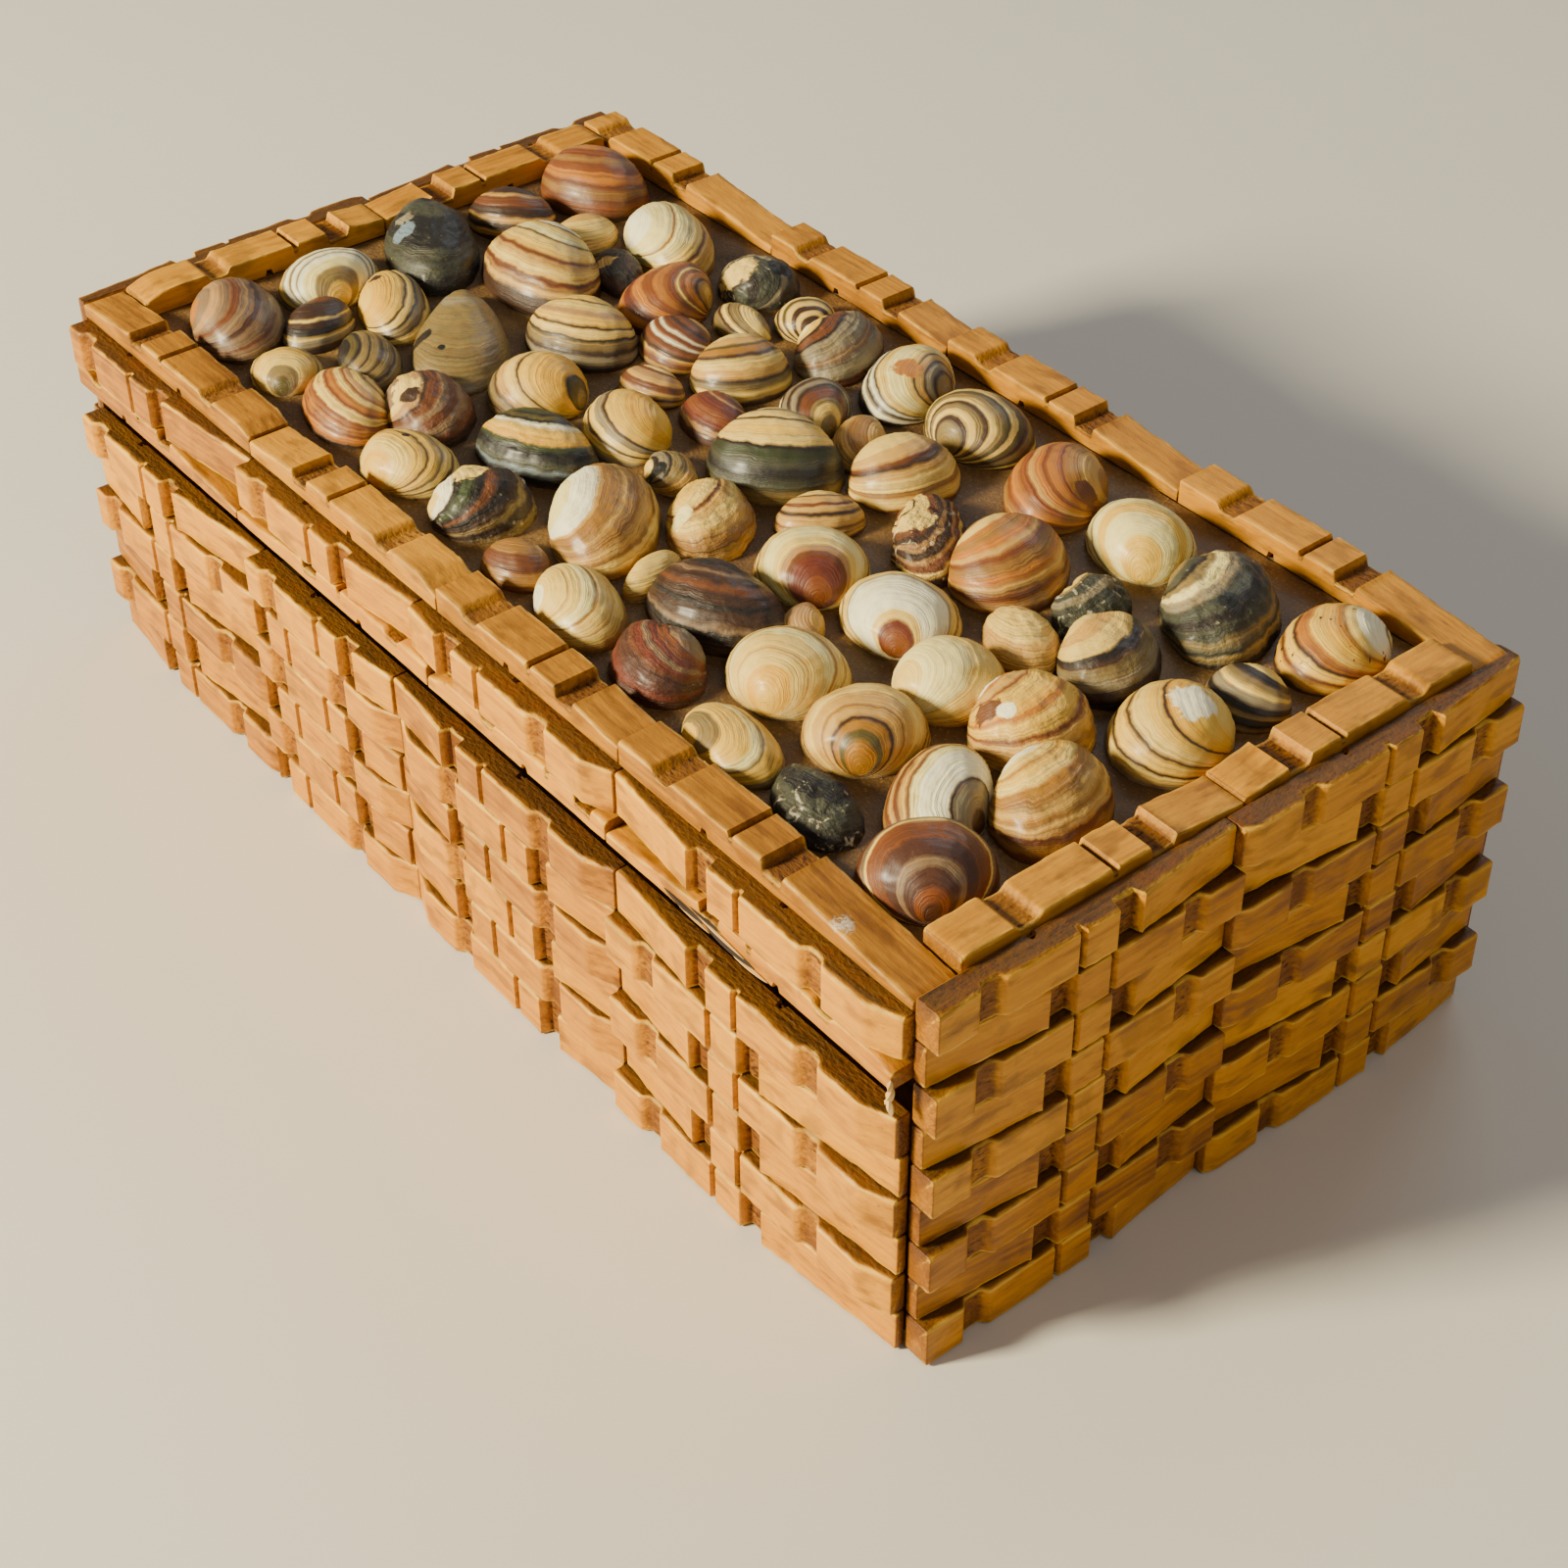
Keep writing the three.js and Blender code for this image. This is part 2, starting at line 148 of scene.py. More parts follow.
class Shader:
    """The nodes of one material."""

    def __init__(self, name: str) -> None:
        """Starts a material that holds one Principled BSDF.

        Args:
            name: the material's name.
        """
        self.material = bpy.data.materials.new(name)
        self.material.use_nodes = True
        self.nodes = self.material.node_tree.nodes
        self.links = self.material.node_tree.links
        self.surface = self.nodes["Principled BSDF"]

    def add(
        self,
        kind: str,
        settings: Mapping[str, Any],
        values: Mapping[str | int, Any],
        output: str | int = 0,
    ) -> Signal:
        """Adds one node: its settings first, then its sockets.

        Args:
            kind: the node's type.
            settings: its properties; "stops" fills a colour ramp.
            values: a number, colour or signal for each input socket.
            output: the output socket that is handed back.

        Returns:
            That output.
        """
        node = self.nodes.new(kind)
        for key, value in settings.items():
            if key == "stops":
                self.fill_ramp(node.color_ramp, value)
            else:
                setattr(node, key, value)
        for key, value in values.items():
            self.feed(node.inputs[key], value)
        return Signal(self, node.outputs[output])

    def feed(self, socket: bpy.types.NodeSocket, value: Any) -> None:
        """Links a signal to a socket, or sets the socket's own value."""
        if isinstance(value, Signal):
            self.links.new(value.socket, socket)
        elif isinstance(value, tuple) and socket.type == "RGBA":
            socket.default_value = (*value, 1.0)
        else:
            socket.default_value = value

    @staticmethod
    def fill_ramp(ramp: bpy.types.ColorRamp, stops: Sequence[tuple[float, Colour]]) -> None:
        """Gives a colour ramp its stops.

        Args:
            ramp: the ramp of a new node, which has two stops.
            stops: each stop's place and colour, in rising order.
        """
        for place, _ in stops[2:]:
            ramp.elements.new(place)
        for element, (place, colour) in zip(ramp.elements, stops):
            element.position = place
            element.color = (*colour, 1.0)

    def ramp(self, value: Signal, stops: Sequence[tuple[float, Colour]]) -> Signal:
        """Colours a value by a ramp."""
        return self.add("ShaderNodeValToRGB", {"stops": stops}, {0: value})

    def mix(self, mask: Any, low: Any, high: Any, blend: str = "MIX") -> Signal:
        """Mixes two colours.

        Args:
            mask: how much of the second shows.
            low: the colour where the mask is 0.
            high: the colour where the mask is 1.
            blend: the kind of mixing.

        Returns:
            The mixed colour.
        """
        settings = {"data_type": "RGBA", "blend_type": blend}
        return self.add("ShaderNodeMix", settings, {0: mask, 6: low, 7: high}, 2)

    def paint(self, name: str) -> Signal:
        """Reads a value painted on the mesh."""
        return self.add("ShaderNodeAttribute", {"attribute_name": name}, {}, "Fac")

    def paint_vector(self, name: str) -> Signal:
        """Reads a vector painted on the mesh."""
        return self.add("ShaderNodeAttribute", {"attribute_name": name}, {}, "Vector")

    def place(self) -> Signal:
        """Reads the place on the object, in metres."""
        return self.add("ShaderNodeTexCoord", {}, {}, "Object")

    def scaled(self, vector: Signal, factors: tuple[float, float, float]) -> Signal:
        """Stretches a vector along its three axes."""
        return self.add("ShaderNodeVectorMath", {"operation": "MULTIPLY"}, {0: vector, 1: factors})

    def distance(self, vector: Signal, point: tuple[float, float, float]) -> Signal:
        """Measures how far a vector is from a point."""
        settings = {"operation": "DISTANCE"}
        return self.add("ShaderNodeVectorMath", settings, {0: vector, 1: point}, "Value")

    def cloud(
        self, vector: Signal, scale: float, detail: float = 3.0, distortion: float = 0.0
    ) -> Signal:
        """Adds soft noise.

        Args:
            vector: the coordinates.
            scale: features per metre.
            detail: octaves of finer noise.
            distortion: how far it swirls.

        Returns:
            A value about 0.5.
        """
        values = {"Vector": vector, "Scale": scale, "Detail": detail, "Distortion": distortion}
        return self.add("ShaderNodeTexNoise", {}, values)

    def lines(self, value: Signal, scale: float, detail: float = 2.0) -> Signal:
        """Adds noise that varies with one value alone, such as growth lines."""
        values = {"W": value, "Scale": scale, "Detail": detail}
        return self.add("ShaderNodeTexNoise", {"noise_dimensions": "1D"}, values)

    def relief(self, height: Signal, depth: float, strength: float = 1.0) -> Signal:
        """Turns a height into a bumped normal.

        Args:
            height: the height, 0 to 1.
            depth: how deep 1 is, in metres.
            strength: how much of it shows.

        Returns:
            The normal.
        """
        values = {"Height": height, "Distance": depth, "Strength": strength}
        return self.add("ShaderNodeBump", {}, values, "Normal")

    def finish(self, **sockets: Any) -> bpy.types.Material:
        """Feeds the surface's sockets, named with _ for a space.

        Args:
            **sockets: a value or signal for each.

        Returns:
            The material.
        """
        for key, value in sockets.items():
            self.feed(self.surface.inputs[key.replace("_", " ").title().replace("Ior", "IOR")], value)
        return self.material


# ---------------------------------------------------------------- finishes


@dataclass(frozen=True)
class PegWood:
    """Softwood of a clothes-peg: long fine grain, rough brown notches darkened with painted shade, pale
    worn edges with a painted highlight, and rough sides darkened with painted shade.
    """

    name: str
    pale: str
    warm: str
    deep: str
    pit: str
    # The pale colour of worn edges, which also holds a painted highlight.
    worn: str
    # The dark colour of the rough sides, which also holds painted shade.
    flank: str = "472c0e"
    roughness: float = 0.5
    coat: float = 0.1
    scuff: tuple[float, float, float] | None = None

    def material(self) -> bpy.types.Material:
        """Builds the material.

        Returns:
            A material for meshes painted with grain, notch, edge, flank, sawn and tone.
        """
        shader = Shader(self.name)
        grain = shader.paint_vector("grain")
        notch, edge, flank = (shader.paint(name) for name in ("notch", "edge", "flank"))
        sawn, tone = (shader.paint(name) for name in ("sawn", "tone"))
        streak = shader.cloud(shader.scaled(grain, (45, 900, 900)), 1.0, 5.0, 0.3)
        broad = shader.cloud(shader.scaled(grain, (14, 170, 170)), 1.0, 3.0, 0.8)
        fuzz = shader.cloud(shader.scaled(grain, (700, 1300, 1300)), 1.0, 4.0)
        blotch = shader.cloud(grain, 95.0, 4.0, 0.6)
        fibre = streak * 0.4 + broad * 0.45 + blotch * 0.35 + tone * 0.3 - 0.25
        stops = [(0.22, linear(self.deep)), (0.45, linear(self.warm)), (0.72, linear(self.pale))]
        colour = shader.ramp(fibre, stops)
        pores = shader.cloud(shader.scaled(grain, (260, 1900, 1900)), 1.0, 2.0).step(0.66, 0.74)
        colour = shader.mix(pores * 0.4, colour, linear(self.pit))
        # Notches take the deep colour: rough darker wood, plus painted shade in the recesses.
        notch_grime_and_shade = (notch * (fuzz * 0.9 + blotch * 1.1)).step(0.35, 1.0)
        colour = shader.mix(notch_grime_and_shade * 0.9, colour, linear(self.deep))
        # The sides of pegs on edge, which are the tops and undersides of the courses, take the dark flank
        # colour: rough wood, plus painted shade.
        rough_side_and_shade = (flank * (0.7 + streak * 0.6)).clamped()
        colour = shader.mix(rough_side_and_shade * 0.92, colour, linear(self.flank))
        furrow = (flank * (streak * 0.7 + fuzz * 0.4)).step(0.55, 0.72)
        pits = (notch * fuzz + (fuzz - 0.5) * 0.5).step(0.52, 0.68)
        colour = shader.mix((pits + furrow * 0.7).clamped() * 0.75, colour, linear(self.pit))
        colour = shader.mix((sawn * (0.35 + fuzz * 0.9)).clamped() * 0.75, colour, linear(self.deep))
        # Rounded outer edges turn pale: rubbed wear, plus a painted highlight where the edges catch the
        # light.
        worn_edge_and_highlight = (edge * (blotch * 0.9 + streak * 0.7)).step(0.48, 0.95)
        colour = shader.mix(worn_edge_and_highlight * 0.6, colour, linear(self.worn))
        bruise = (blotch * 0.7 + broad * 0.35).step(0.53, 0.68) * 0.5
        colour = shader.mix(bruise, colour, linear(self.deep))
        stain = shader.cloud(shader.scaled(grain, (90, 300, 300)), 1.0, 5.0).step(0.52, 0.68) * 0.5
        colour = shader.mix(stain, colour, linear(self.deep))
        if self.scuff:
            colour = self.scuffed(shader, colour)
        height = streak * 0.45 + fuzz * (0.25 + notch * 0.9 + flank * 0.9 + sawn * 0.6)
        rough = self.roughness + fuzz * 0.25 + notch * 0.15 - 0.1
        return shader.finish(
            base_color=colour,
            roughness=rough.clamped(),
            specular_ior_level=0.3,
            coat_weight=self.coat * (1 - pits) * (1 - notch * 0.6),
            coat_roughness=0.3,
            normal=shader.relief(height, 0.0005, 0.8),
        )

    def scuffed(self, shader: Shader, colour: Signal) -> Signal:
        """Adds a pale ragged star where the varnish was knocked off.

        Args:
            shader: the material's nodes.
            colour: the wood's colour.

        Returns:
            The colour with the scuff.
        """
        place = shader.place()
        ragged = shader.cloud(place, 900.0, 3.0)
        reach = shader.distance(place, self.scuff) * 1000 + ragged * 4.5
        mask = reach.step(5.4, 4.2) * ragged.step(0.36, 0.5)
        return shader.mix(mask * 0.9, colour, linear("cfc3ae"))


@dataclass(frozen=True)
class BoardWood:
    """A plain brown board, matt and a little dusty."""

    name: str
    pale: str
    deep: str
    along: tuple[float, float, float] = (14, 260, 260)

    def material(self) -> bpy.types.Material:
        """Builds the material for a board whose grain runs along X."""
        shader = Shader(self.name)
        place = shader.place()
        fibre = shader.cloud(shader.scaled(place, self.along), 1.0, 5.0, 0.4)
        dust = shader.cloud(place, 60.0, 5.0)
        colour = shader.ramp(fibre * 0.7 + dust * 0.3, [(0.3, linear(self.deep)), (0.7, linear(self.pale))])
        return shader.finish(
            base_color=colour,
            roughness=(0.7 + dust * 0.2).clamped(),
            normal=shader.relief(fibre, 0.0004, 0.7),
        )


@dataclass(frozen=True)
class GlueBed:
    """The brown varnished glue that the shells are set in, with sand and crumbs in it."""

    name: str = "glue_and_sand"

    def material(self) -> bpy.types.Material:
        """Builds the material."""
        shader = Shader(self.name)
        place = shader.place()
        blotch = shader.cloud(place, 55.0, 4.0, 0.5)
        grit = shader.cloud(place, 1500.0, 3.0)
        stops = [(0.3, linear("3a260c")), (0.5, linear("64461c")), (0.72, linear("8f6c34"))]
        colour = shader.ramp(blotch * 0.65 + grit * 0.35, stops)
        colour = shader.mix(grit.step(0.64, 0.72) * 0.5, colour, linear("a5824c"))
        return shader.finish(
            base_color=colour,
            roughness=(0.55 + grit * 0.25).clamped(),
            coat_weight=0.15,
            coat_roughness=0.3,
            normal=shader.relief(grit, 0.0005, 0.6),
        )


class Tint(Enum):
    """The colours that the shells are banded in."""

    WHITE = "f8f0cc"
    IVORY = "f2e094"
    CREAM = "eac666"
    BUTTER = "eabc46"
    YELLOW = "e6ae2c"
    GOLD = "a4700f"
    SAND = "cc9f4c"
    TAN = "9a6e2a"
    KHAKI = "84703e"
    OLIVE = "544a18"
    BROWN = "693910"
    UMBER = "382009"
    DARK = "190f06"
    RUST = "7c420e"
    ORANGE = "b4701a"
    RED = "672a10"
    PINK = "b48a54"
    PLUM = "4a2816"
    MAUVE = "846a4c"
    GREY = "8a7e62"
    SLATE = "3b3e30"
    BLACK = "11110d"
    GREEN = "303c1c"
    BLUE = "6c7e8a"

    @property
    def colour(self) -> Colour:
        """The tint in linear light."""
        return linear(self.value)


@dataclass(frozen=True)
class Patch:
    """A spot of another colour: the way to it from the shell's middle, how far, and how wide."""

    tint: Tint
    heading: float
    reach: float
    radius: float


@dataclass(frozen=True)
class ShellSkin:
    """The varnished skin of one shell, banded from its beak to its margin."""

    name: str
    bands: Sequence[tuple[float, Tint]]
    seed: float
    specks: Tint | None
    coarse: float
    patches: Sequence[tuple[Patch, float, float]]
    softness: float = 0.014

    def stops(self) -> list[tuple[float, Colour]]:
        """Works out the ramp's stops, with a short blend between bands."""
        marks: list[tuple[float, Colour]] = []
        for i, (start, tint) in enumerate(self.bands):
            end = self.bands[i + 1][0] if i + 1 < len(self.bands) else 1.0
            marks.append((min(start + self.softness, end), tint.colour))
            marks.append((max(end - self.softness, start), tint.colour))
        return sorted(marks[:RAMP_LIMIT], key=lambda mark: mark[0])

    def material(self) -> bpy.types.Material:
        """Builds the material.

        Returns:
            A material for a mesh painted with growth, plan and skirt.
        """
        shader = Shader(self.name)
        growth, skirt = shader.paint("growth"), shader.paint("skirt")
        plan = shader.paint_vector("plan")
        swirl = shader.cloud(plan, 130.0 + self.seed, 3.0, 0.4)
        fine = shader.cloud(plan, 900.0, 4.0)
        mottle = shader.cloud(plan, 330.0, 5.0, 0.8)
        ring = growth + (swirl - 0.5) * (0.06 + self.coarse * 0.12) + (fine - 0.5) * 0.012
        colour = shader.ramp(ring, self.stops())
        hair = shader.lines(ring + self.seed, 48.0, 3.0)
        thread = shader.lines(ring + self.seed * 3, 130.0, 2.0)
        broad = shader.lines(ring + self.seed * 2, 11.0, 2.0)
        faded = shader.cloud(plan, 75.0 + self.seed, 2.0).step(0.34, 0.66)
        shade = hair.step(0.56, 0.34) * 0.34 + broad.step(0.54, 0.36) * 0.3
        shade = shade * (0.35 + mottle * 0.7) * (0.3 + faded) * (0.2 + growth.step(0.35, 0.75))
        colour = shader.mix(shade.clamped(), colour, Tint.DARK.colour)
        colour = shader.mix(hair.step(0.56, 0.75) * 0.5, colour, Tint.IVORY.colour, "OVERLAY")
        streaky = thread.step(0.5, 0.3) * (0.12 + mottle.step(0.4, 0.7) * 0.3)
        colour = shader.mix(streaky, colour, Tint.UMBER.colour)
        glints = thread.step(0.55, 0.75) * mottle.step(0.5, 0.75) * 0.35
        colour = shader.mix(glints, colour, Tint.WHITE.colour, "OVERLAY")
        colour = shader.mix((mottle.step(0.35, 0.75) * 0.4), colour, Tint.SAND.colour, "SOFT_LIGHT")
        chalk = (mottle + fine * 0.4 + self.coarse * 0.25).step(0.98, 1.12)
        colour = shader.mix(chalk * (0.25 + self.coarse * 0.5), colour, Tint.WHITE.colour)
        if self.specks:
            dots = shader.cloud(plan, 620.0, 2.0).step(0.67, 0.72)
            colour = shader.mix(dots, colour, self.specks.colour)
        for patch, x, y in self.patches:
            reach = shader.distance(shader.scaled(plan, (1, 1, 0)), (x, y, 0)) / (patch.radius * MM)
            spot = (reach + (mottle - 0.5) * 1.6).step(1.1, 0.85)
            colour = shader.mix(spot, colour, patch.tint.colour)
        # Darker towards the base: painted shade where the shell meets the glue, with less coat there.
        base_shade = (skirt * (0.6 + mottle)).step(0.72, 1.1)
        colour = shader.mix(base_shade * 0.7, colour, linear("4a3522"))
        height = hair * 0.5 + broad * 0.4 + thread * 0.25 + fine * (0.25 + self.coarse * 1.6)
        return shader.finish(
            base_color=colour,
            roughness=(0.42 + mottle * 0.25 + self.coarse * 0.15).clamped(),
            coat_weight=0.3 * (1 - base_shade) * (1 - self.coarse * 0.8),
            coat_roughness=0.3,
            normal=shader.relief(height, 0.0004 + self.coarse * 0.0004, 0.8),
        )


# ---------------------------------------------------------------- mesh drafting


@dataclass
class Draft:
    """A mesh being put together from closed tubes and sheets, with values painted on its corners."""

    name: str
    corners: list[np.ndarray] = field(default_factory=list)
    faces: list[list[int]] = field(default_factory=list)
    paints: dict[str, list[np.ndarray]] = field(default_factory=dict)
    count: int = 0

    def brush(self, paints: Mapping[str, np.ndarray]) -> None:
        """Keeps the painted values of the corners that were just added."""
        for key, values in paints.items():
            self.paints.setdefault(key, []).append(values.reshape(-1, *values.shape[2:]))

    def tube(self, rings: np.ndarray, paints: Mapping[str, np.ndarray], inside_out: bool) -> None:
        """Adds a closed tube.

        Args:
            rings: its corners, [ring, corner, axis].
            paints: values for every corner, [ring, corner].
            inside_out: whether its faces have to be turned round.
        """
        count, around = rings.shape[:2]
        index = np.arange(count * around).reshape(count, around) + self.count
        beside = np.roll(index, -1, axis=1)
        quads = np.stack([index[:-1], beside[:-1], beside[1:], index[1:]], axis=-1).reshape(-1, 4)
        faces = [*quads.tolist(), index[0][::-1].tolist(), index[-1].tolist()]
        self.faces.extend([face[::-1] for face in faces] if inside_out else faces)
        self.corners.append(rings.reshape(-1, 3))
        self.brush(paints)
        self.count += count * around

    def dome(self, top: np.ndarray, rings: np.ndarray, paints: Mapping[str, np.ndarray]) -> None:
        """Adds a closed dome that widens from its top, with a flat underside.

        Args:
            top: the highest corner.
            rings: the rings below it, [ring, corner, axis], anticlockwise from above.
            paints: values for every ring's corner; the top takes the first ring's mean.
        """
        count, around = rings.shape[:2]
        index = np.arange(count * around).reshape(count, around) + self.count + 1
        beside = np.roll(index, -1, axis=1)
        quads = np.stack([index[:-1], index[1:], beside[1:], beside[:-1]], axis=-1).reshape(-1, 4)
        fan = [[self.count, int(a), int(b)] for a, b in zip(index[0], beside[0])]
        self.faces.extend([*fan, *quads.tolist(), index[-1][::-1].tolist()])
        self.corners.append(np.vstack([top[None], rings.reshape(-1, 3)]))
        for key, values in paints.items():
            flat = values.reshape(-1, *values.shape[2:])
            first = values[0].mean(axis=0)[None]
            self.paints.setdefault(key, []).append(np.concatenate([first, flat]))
        self.count += 1 + count * around

    def piece(self, material: bpy.types.Material, sharp: float) -> bpy.types.Object:
        """Makes the object.

        Args:
            material: its finish.
            sharp: the angle in degrees above which an edge stays sharp.

        Returns:
            The object, in the scene.
        """
        mesh = bpy.data.meshes.new(self.name)
        mesh.from_pydata(np.concatenate(self.corners).tolist(), [], self.faces)
        for key, parts in self.paints.items():
            values = np.concatenate(parts).astype(np.float32)
            kind = "FLOAT_VECTOR" if values.ndim > 1 else "FLOAT"
            layer = mesh.attributes.new(key, kind, "POINT")
            layer.data.foreach_set("vector" if values.ndim > 1 else "value", values.ravel())
        mesh.polygons.foreach_set("use_smooth", [True] * len(mesh.polygons))
        mesh.set_sharp_from_angle(angle=math.radians(sharp))
        mesh.materials.append(material)
        thing = bpy.data.objects.new(self.name, mesh)
        bpy.context.scene.collection.objects.link(thing)
        return thing


def settle(piece: bpy.types.Object, slot: str, *nodes: str) -> bpy.types.Object:
    """Attaches a finished piece to the body and hides the CAD nodes that it replaces.

    Args:
        piece: the piece, in place.
        slot: the material slot it takes its finish from; not used.
        *nodes: the CAD nodes it replaces.

    Returns:
        The piece.
    """
    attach(piece, BODY)
    if nodes:
        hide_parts(*nodes)
    return piece


def drift(chance: np.random.Generator, places: np.ndarray, spacing: float) -> np.ndarray:
    """Makes a smooth random run from -1 to 1.

    Args:
        chance: the source of random numbers.
        places: where the run is wanted.
        spacing: how far apart its free values are.

    Returns:
        A value for each place.
    """
    knots = np.arange(places.min() - spacing, places.max() + 2 * spacing, spacing)
    return np.interp(places, knots, chance.uniform(-1, 1, len(knots)))


# ---------------------------------------------------------------- pegs


class Side(Enum):
    """A side of the box: the way a course runs seen from outside, and the way out."""

    FRONT = ((1, 0, 0), (0, -1, 0))
    BACK = ((-1, 0, 0), (0, 1, 0))
    LEFT = ((0, -1, 0), (-1, 0, 0))
    RIGHT = ((0, 1, 0), (1, 0, 0))

    @property
    def word(self) -> str:
        """The side's name in the CAD nodes."""
        return self.name.lower()

    @property
    def along(self) -> Vector:
        """The way a course runs."""
        return Vector(self.value[0])

    @property
    def out(self) -> Vector:
        """The way out of the box."""
        return Vector(self.value[1])

    def start(self, node: str) -> Vector:
        """Finds the corner of a node where its courses start, inside and at the bottom.

        Args:
            node: the CAD node.

        Returns:
            That corner, in the frame.
        """
        low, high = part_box(node)
        way = self.along + self.out
        return Vector((low.x if way.x > 0 else high.x, low.y if way.y > 0 else high.y, low.z))


@dataclass(frozen=True)
class Berth:
    """Where a course lies: its starting corner and the ways along, across and out of it."""

    corner: Vector
    along: Vector
    across: Vector
    out: Vector

    def place(self, along: np.ndarray, across: np.ndarray, out: np.ndarray) -> np.ndarray:
        """Turns distances within the course into places in the frame.

        Args:
            along: distances along the course, in metres.
            across: distances across it.
            out: distances out of it.

        Returns:
            A place for each set of three.
        """
        axes = [np.array(v) for v in (self.along, self.across, self.out)]
        parts = [d[..., None] * axis for d, axis in zip((along, across, out), axes)]
        return np.array(self.corner) + parts[0] + parts[1] + parts[2]

    @property
    def mirrored(self) -> bool:
        """Whether the three ways make a left-handed set."""
        return self.along.cross(self.across).dot(self.out) < 0


@dataclass(frozen=True)
class PegShape:
    """The side view of a whole peg half, in millimetres from its jaw tip."""

    length: float = 93
    thickness: float = 6
    tip: float = 3.2
    tip_bevel: float = 7
    jaw: float = 21
    jaw_mouth: float = 7
    jaw_depth: float = 1.6
    arm: float = 41
    arm_width: float = 1.8
    arm_depth: float = 1.3
    spring: float = 52.4
    spring_mouth: float = 6.4
    spring_depth: float = 2.4
    step: float = 0.6
    handle: float = 1.8
    flat_groove: float = 33.5
    flat_groove_width: float = 2.2
    flat_groove_depth: float = 1.5
    round_over: float = 0.45

    def hollow(self, along: np.ndarray, middle: float, mouth: float, flank: float) -> np.ndarray:
        """Gives the depth of a notch, 0 to 1.

        Args:
            along: distances from the tip.
            middle: the notch's middle.
            mouth: its width at the surface.
            flank: the width of each sloping side.

        Returns:
            1 at its floor and 0 outside it.
        """
        rise = np.clip((mouth / 2 - np.abs(along - middle)) / flank, 0, 1)
        return rise * rise * (3 - 2 * rise)

    def notches(self, along: np.ndarray) -> tuple[np.ndarray, np.ndarray, np.ndarray]:
        """Gives the jaw notch, the arm groove and the spring notch, each 0 to 1.

        Args:
            along: distances from the tip.

        Returns:
            The three depths at each distance.
        """
        jaw = self.hollow(along, self.jaw, self.jaw_mouth, 2.0)
        arm = self.hollow(along, self.arm, self.arm_width, 0.5)
        spring = self.hollow(along, self.spring, self.spring_mouth, 0.9)
        return jaw, arm, spring

    def body(self, along: np.ndarray) -> np.ndarray:
        """Gives the thickness without its notches, with softened bends.

        Args:
            along: distances from the tip.

        Returns:
            The thickness at each distance.
        """
        start = self.spring + self.spring_mouth / 2
        bends = [0, self.tip_bevel, start - 0.4, start + 0.4, self.length]
        heights = [self.tip, self.thickness, self.thickness, self.thickness - self.step, self.handle]
        shifts = (-2 * self.round_over, -self.round_over, 0, self.round_over, 2 * self.round_over)
        return sum(np.interp(along + shift, bends, heights) for shift in shifts) / len(shifts)

    def stations(self, cut: float, length: float) -> np.ndarray:
        """Lists the distances at which a trimmed peg needs a ring of corners.

        Args:
            cut: how much is sawn off the tip.
            length: how long the peg still is.

        Returns:
            The distances from the tip of the whole peg, rising.
        """
        close = [
            middle + side * width
            for middle, widths in (
                (self.jaw, (0, 0.8, 1.5, 2, 2.5, 3, 3.5, 3.9)),
                (self.arm, (0, 0.4, 0.65, 0.9, 1.15)),
                (self.spring, (0, 1.2, 2.3, 2.6, 2.9, 3.2, 3.5, 4)),
                (self.flat_groove, (0, 0.6, 0.85, 1.1, 1.4)),
                (self.tip_bevel, (0, 0.5, 1)),
            )
            for width in widths
            for side in (-1, 1)
        ]
        even = np.arange(cut + 1.2, cut + length - 1, 1.7)
        inner = [d for d in [*close, *even] if cut + 0.7 < d < cut + length - 0.7]
        ends = [cut, cut + 0.12, cut + 0.35, cut + length - 0.35, cut + length - 0.12, cut + length]
        return np.unique(np.round([*ends, *inner], 2))


@dataclass(frozen=True)
class Wear:
    """How unevenly the pegs are cut and worn, in millimetres; "notch" is a share of its depth."""

    notch: float = 0.08
    face: float = 0.1
    side: float = 0.07
    side_gap: float = 0.1
    side_slack: float = 0.08
    end_inset: float = 0.3
    end_reach: float = 0.35
    rounding: float = 0.5
    rounding_change: float = 0.2
    fray: float = 0.16
    sideways: float = 0.06
    crown: float = 0.05
    bevel: float = 0.4
    crown_inset: float = 1.5
    crown_half: float = 1.7


SHAPE = PegShape()
WEAR = Wear()
# How strongly each corner round a peg's section takes the colour of notches and of rough sides, both
# darkened with painted shade.
NOTCH_PAINT = (0, 0, 0, 0.3, 1, 1, 1, 1, 1, 1, 1, 1, 1, 1, 0.3, 0)
FLANK_PAINT = (0, 0, 1, 1, 0.6, *[0] * 8, 0.6, 1, 1)


